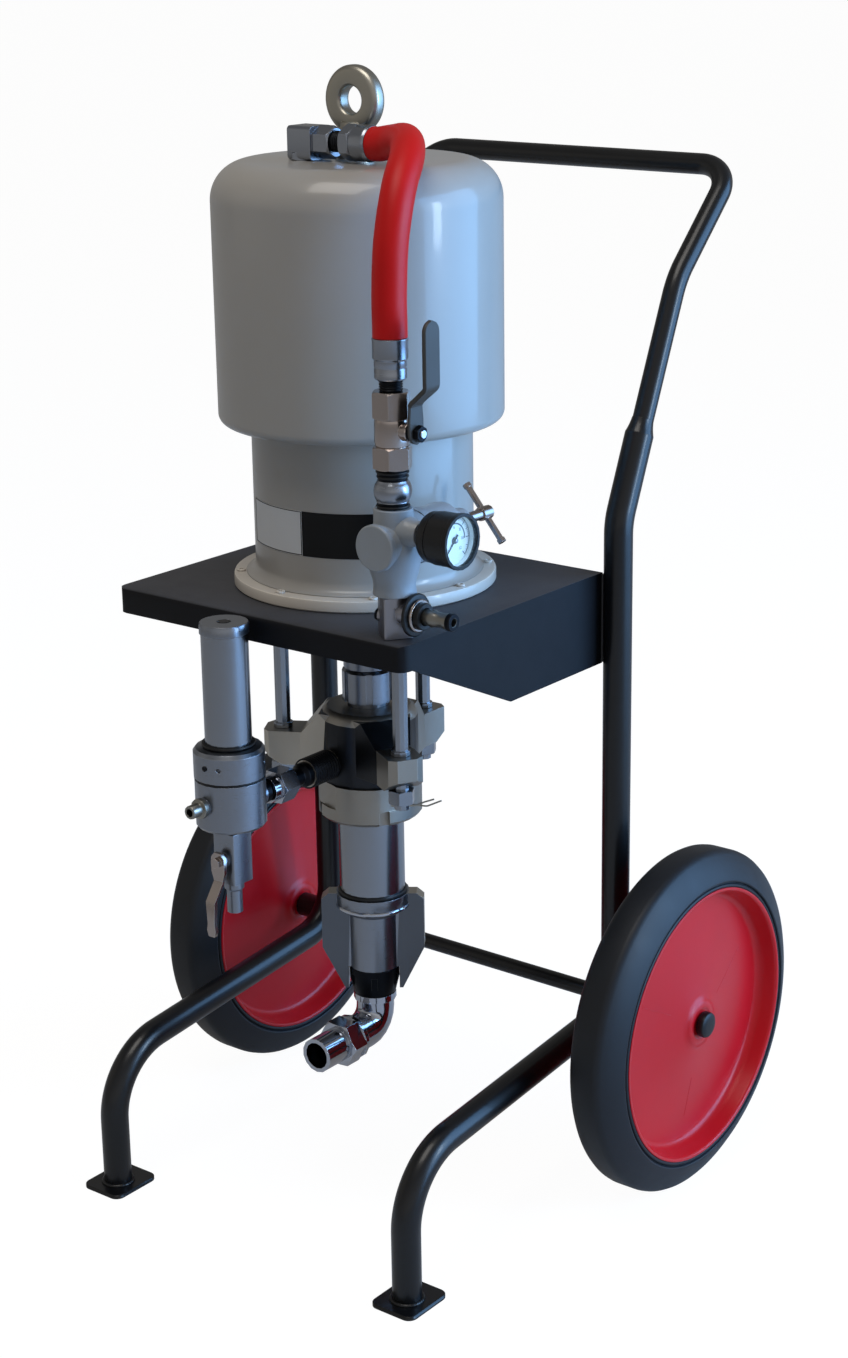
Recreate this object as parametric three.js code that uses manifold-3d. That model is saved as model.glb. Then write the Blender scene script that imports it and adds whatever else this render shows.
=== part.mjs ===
// Air-driven airless paint sprayer on a two-wheeled tubular cart.
// Millimetres, +Z up, front of the cart towards -Y, right wheel towards +X.
// Heights are above the floor and depths are measured from the wheel axle.
import * as THREE from 'three';
import { mergeVertices, toCreasedNormals } from 'three/addons/utils/BufferGeometryUtils.js';
import Module from 'manifold-3d';

const wasm = await Module();
wasm.setup();

// Running and seating clearance between neighbouring pieces.
const GAP = 0.3;

// Cart
const CENTRE_Y = 104;
const FRAME_X = 188;
const TUBE_R = 14;
const BOW_R = 10.4;
const UPRIGHT_Y = -11;
const LEG_Y = -353;
const FOOT = { width: 50, depth: 58, thick: 4, y: -350.5, corner: 9 };
const RUN_SLOPE = 0.1;
const RUN_Z_AT_LEG = 137.7;
const LEAN_Z = 677;
const LEAN_ANGLE = 23.3;
const JOINT_LENGTH = 86.5;
const BOW_INSERT = 62;
const BOW_KNEE = [85.6, 897.7];
const BOW_BAR = [185, 995];
const AXLE_Z = 175;
const AXLE_R = 8;

// Wheels
const WHEEL_X = 262;
const WHEEL_HALF = 29.5;
const TYRE_R = 175;
const RIM_R = 140;

// Tray
const TRAY = {
  halfWidth: 173.4, front: -325, back: -16, knee: -166, top: 626, sheet: 3, lip: 24, gusset: 91,
};

// Motor and pump share one vertical axis.
const PUMP_Y = -164;
const FLANGE_R = 125;
const FLANGE_TOP = 638;
const CYLINDER_R = 104;
const CYLINDER_BORE = 98;
const SHROUD_R = 134;
const SHROUD_TOP = 1022;
const ROD_R = 11;
const TIE_RADIUS = 85;
const TIE_ROD_R = 7.5;
const TIE_ANGLES = [90, 210, 330];
const EYE = { z: 1074, outer: 31, hole: 13, half: 8 };

// Fluid pump
const PUMP = { x: 0, y: PUMP_Y };
const PUMP_ROD_R = 14;
const BARREL_R = 32.5;
const BARREL_BORE = 25;
const HOUSING_TOP = 500;
const EAR_LOW = 440;
const EAR_TOP = 474;
const RING_R = 51;
const PORT_Z = 449;
const WING_ANGLE = 36;
const INTAKE_LOW = 225;
const NUT_LOW = 196;
const INTAKE_Z = 159;
const ELBOW_BORE = 13.5;

// Air line
const LINE_X = 145;
const LINE_Y = -298.5;
const LINE = { x: LINE_X, y: LINE_Y };
const HOSE_R = 15.2;
const ELBOW_X = -29;
const FITTING_Y = -200;
const FITTING_Z = 1040;
const FERRULE_LENGTH = 52.5;
const VALVE_Z = 811;
const VALVE_HALF = 34;
const HOSE_END_Z = 891;
const REGULATOR_LOW = 665;
const REGULATOR_TOP = 742.3;
const SCREW_Z = 711;
const T_BAR_Y = 131.5;
const GAUGE_Z = 722.5;
const INLET_Z = 649;

// Filter
const FILTER_X = -11;
const FILTER_Y = -352;
const FILTER = { x: FILTER_X, y: FILTER_Y };
const LINK_FROM = -247;
const LINK_TO = -312;
const OUTLET_X = -15;
const OUTLET_Z = 456;
const DRAIN_Z = 399;

const DEG = Math.PI / 180;
const v3 = (x, y, z) => new THREE.Vector3(x, y, z);

// ---- solid helpers ----

function toManifold(geometry) {
  let plain = geometry.clone();
  plain.deleteAttribute('normal');
  plain.deleteAttribute('uv');
  plain = mergeVertices(plain, 1e-4);
  const corners = plain.index.array;
  const kept = [];
  for (let i = 0; i < corners.length; i += 3) {
    const [a, b, c] = [corners[i], corners[i + 1], corners[i + 2]];
    if (a !== b && b !== c && c !== a) {
      kept.push(a, b, c);
    }
  }
  const mesh = (order) => new wasm.Manifold(new wasm.Mesh({
    numProp: 3,
    vertProperties: new Float32Array(plain.attributes.position.array),
    triVerts: new Uint32Array(order),
  }));
  const solid = mesh(kept);
  if (solid.volume() > 0) {
    return solid;
  }
  const turned = [];
  for (let i = 0; i < kept.length; i += 3) {
    turned.push(kept[i], kept[i + 2], kept[i + 1]);
  }
  return mesh(turned);
}

function toGeometry(solid) {
  const mesh = solid.getMesh();
  const geometry = new THREE.BufferGeometry();
  geometry.setAttribute('position', new THREE.BufferAttribute(new Float32Array(mesh.vertProperties), 3));
  geometry.setIndex(new THREE.BufferAttribute(new Uint32Array(mesh.triVerts), 1));
  return toCreasedNormals(geometry, 35 * DEG);
}

function join(first, ...others) {
  return others.reduce((sum, next) => sum.add(next), first);
}

function cut(first, ...others) {
  return others.reduce((sum, next) => sum.subtract(next), first);
}

// Solid of revolution about Z through (x, y); the profile lists [radius, height] and closes on
// itself, or starts and ends on the axis.
function revolve(profile, segments, { x = 0, y = 0, z = 0 } = {}) {
  const points = profile.map(([r, h]) => new THREE.Vector2(r, h));
  const onAxis = profile[0][0] === 0 && profile[profile.length - 1][0] === 0;
  if (!onAxis) {
    points.push(points[0].clone());
  }
  const geometry = new THREE.LatheGeometry(points, segments);
  geometry.rotateX(90 * DEG);
  geometry.translate(x, y, z);
  return toManifold(geometry);
}

// The same, turned so that the profile's height runs along +X, +Y or -Y.
function revolveAlong(direction, profile, segments, { x = 0, y = 0, z = 0 } = {}) {
  const turns = { '+x': [0, 90, 0], '-x': [0, -90, 0], '+y': [-90, 0, 0], '-y': [90, 0, 0] };
  const [rx, ry, rz] = turns[direction];
  return revolve(profile, segments).rotate([rx, ry, rz]).translate([x, y, z]);
}

function rod(radius, from, to, segments, place) {
  return revolve([[0, from], [radius, from], [radius, to], [0, to]], segments, place);
}

function rodAlong(direction, radius, from, to, segments, place) {
  return revolveAlong(direction, [[0, from], [radius, from], [radius, to], [0, to]], segments, place);
}

function ring(inner, outer, from, to, segments, place) {
  return revolve([[inner, from], [outer, from], [outer, to], [inner, to]], segments, place);
}

// Regular prism of n sides, its across-flats size given, with chamfered corners.
function nut(sides, flats, from, to, place) {
  const corner = flats / 2 / Math.cos(Math.PI / sides);
  const bevel = (corner - flats / 2) * 0.7;
  const prism = rod(corner, from, to, sides);
  const turned = revolve([
    [0, from], [corner - bevel, from], [corner + 0.01, from + bevel * 0.6],
    [corner + 0.01, to - bevel * 0.6], [corner - bevel, to], [0, to],
  ], 12);
  return prism.rotate([0, 0, 180 / sides]).intersect(turned).translate([place.x, place.y, place.z ?? 0]);
}

// Flat outline of [u, v] points extruded by depth along +Z.
function plate(points, depth) {
  const shape = new THREE.Shape(points.map(([u, v]) => new THREE.Vector2(u, v)));
  return toManifold(new THREE.ExtrudeGeometry(shape, { depth, bevelEnabled: false }));
}

function roundedOutline(x0, y0, x1, y1, radius, steps = 4) {
  const corners = [[x1 - radius, y1 - radius, 0], [x0 + radius, y1 - radius, 90],
    [x0 + radius, y0 + radius, 180], [x1 - radius, y0 + radius, 270]];
  const points = [];
  for (const [cx, cy, start] of corners) {
    for (let i = 0; i <= steps; i += 1) {
      const angle = (start + 90 * i / steps) * DEG;
      points.push([cx + radius * Math.cos(angle), cy + radius * Math.sin(angle)]);
    }
  }
  return points;
}

function block(x0, y0, z0, x1, y1, z1) {
  const geometry = new THREE.BoxGeometry(x1 - x0, y1 - y0, z1 - z0);
  geometry.translate((x0 + x1) / 2, (y0 + y1) / 2, (z0 + z1) / 2);
  return toManifold(geometry);
}

// Points along straight runs joined by arcs; each corner is [point, bend radius].
function bentRoute(corners, degreesPerStep) {
  const points = [corners[0][0]];
  for (let i = 1; i < corners.length - 1; i += 1) {
    const [corner, radius] = corners[i];
    const back = corners[i - 1][0].clone().sub(corner).normalize();
    const ahead = corners[i + 1][0].clone().sub(corner).normalize();
    const turn = Math.PI - back.angleTo(ahead);
    const reach = radius * Math.tan(turn / 2);
    const middle = back.clone().add(ahead).normalize();
    const centre = corner.clone().addScaledVector(middle, radius / Math.cos(turn / 2));
    const steps = Math.max(2, Math.round(turn / DEG / degreesPerStep));
    const start = corner.clone().addScaledVector(back, reach).sub(centre);
    const axis = back.clone().cross(ahead).normalize();
    for (let k = 0; k <= steps; k += 1) {
      points.push(start.clone().applyAxisAngle(axis, -turn * k / steps).add(centre));
    }
  }
  points.push(corners[corners.length - 1][0]);
  return points;
}

// Curve whose samples are the route's own points, with each ring on the bisecting plane.
class Route extends THREE.Curve {
  constructor(points) {
    super();
    this.points = points;
  }

  getPoint(t, target = new THREE.Vector3()) {
    const last = this.points.length - 1;
    const place = Math.min(t * last, last - 1e-9);
    const index = Math.floor(place);
    return target.lerpVectors(this.points[index], this.points[index + 1], place - index);
  }

  getPointAt(u, target) {
    return this.getPoint(u, target);
  }

  getTangentAt(u, target = new THREE.Vector3()) {
    const last = this.points.length - 1;
    const index = Math.round(u * last);
    const here = this.points[index];
    target.set(0, 0, 0);
    if (index > 0) {
      target.add(here.clone().sub(this.points[index - 1]).normalize());
    }
    if (index < last) {
      target.add(this.points[index + 1].clone().sub(here).normalize());
    }
    return target.normalize();
  }
}

function pipe(points, radius, sides) {
  const section = new THREE.Shape();
  for (let i = 0; i < sides; i += 1) {
    const angle = 2 * Math.PI * i / sides;
    const [u, v] = [radius * Math.cos(angle), radius * Math.sin(angle)];
    if (i === 0) {
      section.moveTo(u, v);
    } else {
      section.lineTo(u, v);
    }
  }
  section.closePath();
  const route = new Route(points);
  return toManifold(new THREE.ExtrudeGeometry(section, {
    steps: points.length - 1, extrudePath: route, bevelEnabled: false,
  }));
}

// ---- cart ----

// Upright tube with its front leg; side is +1 on the right and -1 on the left.
function sideTube(side) {
  const x = side * FRAME_X;
  const runZ = (y) => RUN_Z_AT_LEG + RUN_SLOPE * (y - LEG_Y);
  const lean = [Math.sin(LEAN_ANGLE * DEG), Math.cos(LEAN_ANGLE * DEG)];
  const top = v3(x, UPRIGHT_Y + JOINT_LENGTH * lean[0], LEAN_Z + JOINT_LENGTH * lean[1]);
  const route = bentRoute([
    [v3(x, LEG_Y, FOOT.thick / 2), 0],
    [v3(x, LEG_Y, runZ(LEG_Y)), 72],
    [v3(x, UPRIGHT_Y, runZ(UPRIGHT_Y)), 48],
    [v3(x, UPRIGHT_Y, LEAN_Z), 60],
    [top, 0],
  ], 17);
  const socket = bentRoute([
    [top.clone().add(v3(0, -(BOW_INSERT + 2) * lean[0], -(BOW_INSERT + 2) * lean[1])), 0],
    [top.clone().add(v3(0, 3 * lean[0], 3 * lean[1])), 0],
  ], 9);
  const half = FOOT.width / 2;
  const foot = plate(roundedOutline(x - half, FOOT.y - FOOT.depth / 2, x + half, FOOT.y + FOOT.depth / 2,
    FOOT.corner, 2), FOOT.thick);
  const sleeveFrom = FRAME_X - 13;
  const sleeveTo = FRAME_X + 17;
  const sleeve = rodAlong('+x', 13, sleeveFrom, sleeveTo, 12, { x: 0, y: 0, z: AXLE_Z });
  const web = block(FRAME_X - 3, -24, AXLE_Z - 6, FRAME_X + 3, 0, AXLE_Z + 22);
  const hole = rodAlong('+x', AXLE_R + GAP, sleeveFrom - 1, sleeveTo + 1, 12, { x: 0, y: 0, z: AXLE_Z });
  const bracket = join(sleeve, web);
  const placed = side > 0 ? bracket : bracket.mirror([1, 0, 0]);
  const bore = side > 0 ? hole : hole.mirror([1, 0, 0]);
  return cut(join(pipe(route, TUBE_R, 12), foot, placed), bore, pipe(socket, BOW_R + GAP + 0.2, 12));
}

function handleBow() {
  const lean = [Math.sin(LEAN_ANGLE * DEG), Math.cos(LEAN_ANGLE * DEG)];
  const reach = JOINT_LENGTH - BOW_INSERT;
  const [startY, startZ] = [UPRIGHT_Y + reach * lean[0], LEAN_Z + reach * lean[1]];
  const corner = (side, [y, z]) => v3(side * FRAME_X, y, z);
  return pipe(bentRoute([
    [v3(FRAME_X, startY, startZ), 0],
    [corner(1, BOW_KNEE), 85],
    [corner(1, BOW_BAR), 36],
    [corner(-1, BOW_BAR), 36],
    [corner(-1, BOW_KNEE), 85],
    [v3(-FRAME_X, startY, startZ), 0],
  ], 18), BOW_R, 12);
}

function axle() {
  const inner = FRAME_X + 17 + GAP;
  const outer = WHEEL_X - 24 - GAP;
  const end = WHEEL_X + WHEEL_HALF - 4;
  return revolveAlong('+x', [
    [0, -end], [AXLE_R - 1, -end], [AXLE_R, -end + 1.5], [AXLE_R, -outer], [13, -outer], [13, -inner],
    [AXLE_R, -inner], [AXLE_R, inner], [13, inner], [13, outer], [AXLE_R, outer], [AXLE_R, end - 1.5],
    [AXLE_R - 1, end], [0, end],
  ], 12, { x: 0, y: 0, z: AXLE_Z });
}

// Push-on cap over the end of the axle.
function hubCap(side) {
  const face = WHEEL_X + 24 + GAP;
  const end = WHEEL_X + WHEEL_HALF + 3.5;
  const dome = revolveAlong('+x', [
    [AXLE_R + GAP, face], [13, face], [13, end - 5], [11, end - 1.5], [7, end], [0, end],
    [0, end - 3.5], [AXLE_R + GAP, end - 3.5],
  ], 12, { x: 0, y: 0, z: AXLE_Z });
  return side > 0 ? dome : dome.mirror([1, 0, 0]);
}

function tyre(side) {
  const half = WHEEL_HALF;
  return revolveAlong('+x', [
    [RIM_R, -half], [RIM_R + 6, -half], [171, -half + 12.5], [TYRE_R, -11],
    [TYRE_R, 11], [171, half - 12.5], [RIM_R + 6, half], [RIM_R, half],
  ], 32, { x: side * WHEEL_X, y: 0, z: AXLE_Z });
}

// Moulded disc: deep rim, conical web and a wide hub, alike on both faces.
function wheelDisc(side) {
  const bore = AXLE_R + GAP;
  const half = WHEEL_HALF;
  const face = (sign) => [
    [bore, 24], [20, 23.5], [127, 7.5], [131, 11], [135.8, half], [RIM_R - GAP, half],
  ].map(([r, x]) => [r, sign * x]);
  return revolveAlong('+x', [...face(-1), ...face(1).reverse()], 32, { x: side * WHEEL_X, y: 0, z: AXLE_Z });
}

// Folded sheet: flat top, rounded front lip and a tapering gusset down each side.
function tray() {
  const { halfWidth, front, back, top, sheet, lip, gusset, knee } = TRAY;
  const low = top - gusset;
  const outer = plate(roundedOutline(-halfWidth, front, halfWidth, back + 40, 11, 3), gusset)
    .translate([0, 0, low])
    .intersect(block(-halfWidth - 1, front - 1, low - 1, halfWidth + 1, back, top + 1));
  const inner = plate(roundedOutline(-halfWidth + sheet, front + sheet, halfWidth - sheet, back + 50, 8, 3),
    gusset).translate([0, 0, low - sheet]);
  const edgeR = 5;
  const nose = [];
  for (let i = 0; i <= 3; i += 1) {
    const angle = (90 + 90 * i / 3) * DEG;
    nose.push([front + edgeR + edgeR * Math.cos(angle), top - edgeR + edgeR * Math.sin(angle)]);
  }
  const side = plate([
    [back + 1, top], ...nose, [front, top - lip], [front + 14, top - lip], [knee, low], [back + 1, low],
  ], 2 * halfWidth + 2).rotate([90, 0, 90]).translate([-halfWidth - 1, 0, 0]);
  const rods = TIE_ANGLES.map((angle) => rod(8 + GAP, low, top + 1, 8, tiePlace(angle)));
  const middle = rod(28, low, top + 1, 14, { x: 0, y: PUMP_Y });
  return cut(cut(outer, inner).intersect(side), middle, ...rods);
}

function tiePlace(angle) {
  return { x: TIE_RADIUS * Math.cos(angle * DEG), y: PUMP_Y + TIE_RADIUS * Math.sin(angle * DEG) };
}

// ---- air motor ----

// Bottom plate with the rod guide: a boss around the rod over a pocket for the coupling.
function motorBase() {
  const low = TRAY.top + GAP;
  const plain = revolve([
    [ROD_R + GAP, 664], [28, 664], [28, low], [FLANGE_R, low],
    [FLANGE_R, FLANGE_TOP - 2], [FLANGE_R - 2, FLANGE_TOP], [36, FLANGE_TOP], [36, 680],
    [ROD_R + GAP, 680],
  ], 28, { y: PUMP_Y });
  const sockets = TIE_ANGLES.map((angle) => rod(8 + GAP, low - 1, FLANGE_TOP - 2.5, 8, tiePlace(angle)));
  return cut(plain, ...sockets);
}

// Air cylinder, closed at its top, with a fillet where it stands on the flange.
function motorCylinder() {
  const low = FLANGE_TOP + GAP;
  return revolve([
    [CYLINDER_BORE, low], [CYLINDER_R + 9, low], [CYLINDER_R + 4, low + 2], [CYLINDER_R + 1, low + 5.5],
    [CYLINDER_R, low + 10], [CYLINDER_R, 976], [0, 976], [0, 962], [CYLINDER_BORE, 962],
  ], 28, { y: PUMP_Y });
}

// Hood over the upper cylinder: rounded shoulder, curled lower edge.
function motorShroud() {
  const wall = 3;
  const shoulder = 36;
  const curl = 17;
  const arc = (r, z, radius, from, to, steps) => Array.from({ length: steps + 1 }, (_, i) => {
    const angle = (from + (to - from) * i / steps) * DEG;
    return [r + radius * Math.cos(angle), z + radius * Math.sin(angle)];
  });
  const low = 767;
  const curlZ = low + curl;
  const outer = [
    [CYLINDER_R + 1, low],
    [CYLINDER_R + 9, low + 0.6],
    ...arc(SHROUD_R - curl, curlZ, curl, -70, 0, 3),
    ...arc(SHROUD_R - shoulder, SHROUD_TOP - shoulder, shoulder, 0, 90, 5),
    [10 + GAP, SHROUD_TOP],
  ];
  const inner = [
    [10 + GAP, SHROUD_TOP - wall],
    ...arc(SHROUD_R - shoulder, SHROUD_TOP - shoulder, shoulder - wall, 90, 0, 2),
    ...arc(SHROUD_R - curl, curlZ, curl - wall, 0, -70, 1),
    [CYLINDER_R + 1, low + wall + 1],
  ];
  const hood = revolve([...outer, ...inner], 32, { y: PUMP_Y });
  return cut(hood, rod(12.2, SHROUD_TOP - 10, SHROUD_TOP + 5, 10, { x: ELBOW_X, y: FITTING_Y }));
}

// Forged eye on its collar and threaded shank.
function liftingEye() {
  const { z, outer, hole, half } = EYE;
  const eye = revolveAlong('+y', [
    [hole, -3], [hole + 4, -half], [outer - 5, -half], [outer, -3.2],
    [outer, 3.2], [outer - 5, half], [hole + 4, half], [hole, 3],
  ], 20, { x: 0, y: PUMP_Y, z });
  const foot = SHROUD_TOP + GAP;
  const shank = revolve([
    [0, 977], [10, 977], [10, foot], [19, foot], [19, foot + 7], [14, foot + 12], [14, z - outer + 2],
    [9, z - hole - 6], [0, z - hole - 6],
  ], 12, { y: PUMP_Y });
  return join(eye, shank);
}

function airPiston() {
  return revolve([
    [7 + GAP, 684], [CYLINDER_BORE - 1, 684], [CYLINDER_BORE - 1, 691], [CYLINDER_BORE - 5, 691],
    [CYLINDER_BORE - 5, 695], [CYLINDER_BORE - 1, 695], [CYLINDER_BORE - 1, 702], [7 + GAP, 702],
  ], 16, { y: PUMP_Y });
}

// Piston rod of the motor: shoulder under the piston, nut above, thread into the coupling below.
function pistonRod() {
  return revolve([
    [0, 552], [7, 552], [7, 576], [ROD_R, 576.3], [ROD_R, 683.5], [7, 683.7], [7, 702.3], [13, 702.3],
    [13, 714], [0, 714],
  ], 10, { y: PUMP_Y });
}

// ---- fluid pump ----

function tieRod(angle) {
  const place = tiePlace(angle);
  const shaft = revolve([
    [0, EAR_LOW - 20], [TIE_ROD_R, EAR_LOW - 20], [TIE_ROD_R, 634], [0, 634],
  ], 10, place);
  const lower = nut(6, 23, EAR_LOW - 14, EAR_LOW - GAP, place);
  return join(shaft, lower, rod(9.6, EAR_TOP + GAP, EAR_TOP + 5, 10, place));
}

// Two-part clamp around the joint of the two rods, with a waist and an upper flange.
function rodCoupling() {
  const shell = revolve([
    [ROD_R - 3.5, 576], [19, 576], [19, 563], [23.5, 560], [23.5, 539], [22, 537.5],
    [PUMP_ROD_R + 0.5, 537.5], [PUMP_ROD_R + 0.5, 550], [ROD_R - 3.5, 551.5],
  ], 14, PUMP);
  const seam = block(22, PUMP_Y - 0.6, 530, 25, PUMP_Y + 0.6, 562);
  const backSeam = block(-25, PUMP_Y - 0.6, 530, -22, PUMP_Y + 0.6, 562);
  return cut(shell, seam, backSeam);
}

// Gland nut with spanner slots round its rim; its neck presses the packings in the housing.
function packingNut() {
  const body = revolve([
    [PUMP_ROD_R + 0.5, 535.5], [25.3, 535.5], [25.3, 505.5], [20, 505.5], [20, 486], [PUMP_ROD_R + 0.5, 486],
  ], 16, PUMP);
  const slots = [];
  for (let i = 0; i < 6; i += 1) {
    slots.push(block(22.8, -3, 503, 27, 3, 540).rotate([0, 0, 60 * i + 12]).translate([0, PUMP_Y, 0]));
  }
  return cut(body, ...slots);
}

// Three-armed body: domed hub, ears for the tie rods and the outlet boss towards the filter.
function outletHousing() {
  const hub = revolve([
    [BARREL_R + 0.8, EAR_LOW - 12], [48, EAR_LOW - 12], [48, HOUSING_TOP - 10], [45, HOUSING_TOP - 3],
    [41, HOUSING_TOP], [20.4, HOUSING_TOP], [20.4, 484], [BARREL_BORE, 480], [BARREL_BORE, EAR_LOW + 1],
    [BARREL_R + 0.8, EAR_LOW + 1],
  ], 20, PUMP);
  const arms = TIE_ANGLES.map((angle) => {
    const outline = plate([[34, -30], [66, -17.5], [97, -17.5], [102.5, -10], [102.5, 10], [97, 17.5],
      [66, 17.5], [34, 30]], HOUSING_TOP - EAR_LOW);
    const flank = plate([
      [28, HOUSING_TOP - 4], [45, HOUSING_TOP - 4], [64, EAR_TOP], [103, EAR_TOP], [103, EAR_TOP - 22],
      [84, EAR_LOW], [28, EAR_LOW],
    ], 70).rotate([90, 0, 0]).translate([0, 35, 0]);
    return outline.translate([0, 0, EAR_LOW]).intersect(flank).rotate([0, 0, angle])
      .translate([0, PUMP_Y, 0]);
  });
  const reach = PUMP_Y - LINK_FROM;
  const boss = rodAlong('-y', 13.5, 36, reach, 14, { x: FILTER_X, y: PUMP_Y, z: PORT_Z });
  const port = rodAlong('-y', 6, 10, reach + 3, 8, { x: FILTER_X, y: PUMP_Y, z: PORT_Z });
  const holes = TIE_ANGLES.map((angle) => rod(8, EAR_LOW - 1, EAR_TOP + 1, 10, tiePlace(angle)));
  const barrel = rod(BARREL_BORE, EAR_LOW + 2, 480, 20, PUMP);
  return cut(join(hub, ...arms, boss), barrel, port, ...holes);
}

// Ring nut that clamps the pump cylinder: flats, spanner slots and a pin hole.
function cylinderRing() {
  const plain = revolve([
    [BARREL_R + 0.5, 389], [RING_R - 3.5, 389], [RING_R, 392.5], [RING_R, EAR_LOW - 12 - GAP],
    [BARREL_R + 0.5, EAR_LOW - 12 - GAP],
  ], 24, PUMP);
  const cuts = [];
  for (let i = 0; i < 4; i += 1) {
    const flat = block(RING_R - 3, -16, 404, 60, 16, 430);
    const slot = block(RING_R - 6.5, -5, 385, 60, 5, 404);
    cuts.push(flat.rotate([0, 0, 90 * i - 20]).translate([0, PUMP_Y, 0]));
    cuts.push(slot.rotate([0, 0, 90 * i - 125]).translate([0, PUMP_Y, 0]));
  }
  return cut(plain, ...cuts);
}

function pumpCylinder() {
  return revolve([
    [BARREL_BORE, 296], [BARREL_R, 296], [BARREL_R, EAR_LOW], [BARREL_BORE, EAR_LOW],
  ], 24, PUMP);
}

// Displacement rod with its piston, ball chamber and four outlet ports.
function displacementRod() {
  const body = revolve([
    [0, 302], [BARREL_BORE - 0.6, 302], [BARREL_BORE - 0.6, 328], [PUMP_ROD_R, 340], [PUMP_ROD_R, 549],
    [0, 549],
  ], 14, PUMP);
  const seat = rod(6, 300, 312, 10, PUMP);
  const chamber = revolve([[0, 305], [6, 309], [10.5, 316], [10.5, 342], [0, 347]], 10, PUMP);
  const ports = [0, 90].map((angle) => rodAlong('+x', 3.5, -20, 20, 6).rotate([0, 0, angle])
    .translate([0, PUMP_Y, 341]));
  return cut(body, seat, chamber, ...ports);
}

function ball(radius, z, detail) {
  const sphere = new THREE.SphereGeometry(radius, detail, detail * 0.6);
  sphere.translate(0, PUMP_Y, z);
  return toManifold(sphere);
}

// Foot valve body: collar round the cylinder, valve chamber and two hammer wings.
function intakeHousing() {
  const body = revolve([
    [8, INTAKE_LOW], [24.5, INTAKE_LOW], [24.5, 282], [33.5, 288], [36.5, 293], [36.5, 305],
    [BARREL_R + 0.5, 305],
    [BARREL_R + 0.5, 295], [24, 295], [24, 284], [16, 280], [16, 242], [8, 234],
  ], 20, PUMP);
  const wings = plate([
    [-51, 298], [-51, 246], [-29, 202], [-25.5, 202], [-25.5, INTAKE_LOW], [25.5, INTAKE_LOW],
    [25.5, 202], [29, 202], [51, 246], [51, 298], [44, 304], [30, 304], [30, 292], [-30, 292],
    [-30, 304], [-44, 304],
  ], 17).rotate([90, 0, 0]).translate([0, 8.5, 0]).rotate([0, 0, WING_ANGLE]).translate([0, PUMP_Y, 0]);
  const core = join(rod(BARREL_R + 0.5, 295, 310, 20, PUMP), rod(24, 284, 296, 20, PUMP),
    revolve([[0, 234], [8, 234], [16, 242], [16, 280], [24, 284], [0, 284]], 20, PUMP),
    rod(8, INTAKE_LOW - 1, 235, 20, PUMP));
  const stop = rodAlong('+x', 2.5, -20, 20, 10, { x: 0, y: PUMP_Y, z: 262.5 });
  return join(cut(join(body, wings), core), stop);
}

// Tapered nut with flutes that holds the intake elbow.
function intakeNut() {
  const body = revolve([
    [18, INTAKE_LOW - GAP], [25, INTAKE_LOW - GAP], [25, INTAKE_LOW - 13], [21, NUT_LOW], [18, NUT_LOW],
  ], 20, PUMP);
  const flutes = [];
  for (let i = 0; i < 6; i += 1) {
    const flute = block(22.5, -3, NUT_LOW - 8, 30, 3, INTAKE_LOW - 7);
    flutes.push(flute.rotate([0, 0, 60 * i + 9]).translate([0, PUMP_Y, 0]));
  }
  return cut(body, ...flutes);
}

// Chromed elbow from under the pump towards the front.
function intakeElbow() {
  const bend = bentRoute([
    [v3(0, PUMP_Y, NUT_LOW - 1), 0],
    [v3(0, PUMP_Y, INTAKE_Z), 21],
    [v3(0, -201, INTAKE_Z), 0],
  ], 18);
  const neck = rod(17.3, NUT_LOW - 2, INTAKE_LOW - 1, 14, PUMP);
  const lip = ring(10, 21.5, NUT_LOW - 7, NUT_LOW - GAP, 14, PUMP);
  const inner = bentRoute([
    [v3(0, PUMP_Y, INTAKE_LOW), 0],
    [v3(0, PUMP_Y, INTAKE_Z), 21],
    [v3(0, -205, INTAKE_Z), 0],
  ], 22);
  return cut(join(pipe(bend, 19, 14), neck, lip), pipe(inner, ELBOW_BORE, 8));
}

function intakeUnion() {
  const place = { x: 0, y: -201 - GAP, z: INTAKE_Z };
  const collar = revolveAlong('-y', [[ELBOW_BORE, 0], [23, 0], [23, 5], [ELBOW_BORE, 5]], 14, place);
  const hex = nut(6, 42, 4, 24, { x: 0, y: 0 }).rotate([90, 0, 0]).translate([0, place.y, place.z]);
  const spout = revolveAlong('-y', [
    [ELBOW_BORE, 20], [17.5, 20], [17.5, 55], [ELBOW_BORE, 55],
  ], 14, place);
  const bore = rodAlong('-y', ELBOW_BORE, -1, 60, 14, place);
  return cut(join(collar, hex, spout), bore);
}

// ---- air line ----

// Elbow on top of the motor: square forged body, threaded leg down, cone seat to the right.
function topElbow() {
  const place = { x: ELBOW_X, y: FITTING_Y };
  const leg = rod(11, SHROUD_TOP - 16, FITTING_Z - 12, 12, place);
  const foot = nut(6, 29, SHROUD_TOP + GAP, FITTING_Z - 10, place);
  const body = plate(roundedOutline(-14, -14.5, 14, 14.5, 4, 2), 28)
    .rotate([90, 0, 90]).translate([ELBOW_X - 14, FITTING_Y, FITTING_Z]);
  const snout = rodAlong('+x', 10.5, 10, 27, 14, { x: ELBOW_X, y: FITTING_Y, z: FITTING_Z });
  return join(leg, foot, body, snout);
}

// Swivel nut and crimped ferrule at the upper end of the hose.
function hoseSwivel() {
  const start = ELBOW_X + 27 + GAP;
  const end = FERRULE_LENGTH;
  const place = { x: start, y: FITTING_Y, z: FITTING_Z };
  const hex = nut(6, 33, 0, 16, { x: 0, y: 0 }).rotate([0, 0, 30]).rotate([0, 90, 0])
    .translate([place.x, place.y, place.z]);
  const ferrule = revolveAlong('+x', [
    [0, 10], [15.6, 10], [15.6, 24], [16.6, 26], [16.6, end - 5], [16.2, end - 1.5], [13, end], [0, end],
  ], 16, place);
  return join(hex, ferrule);
}

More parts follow.
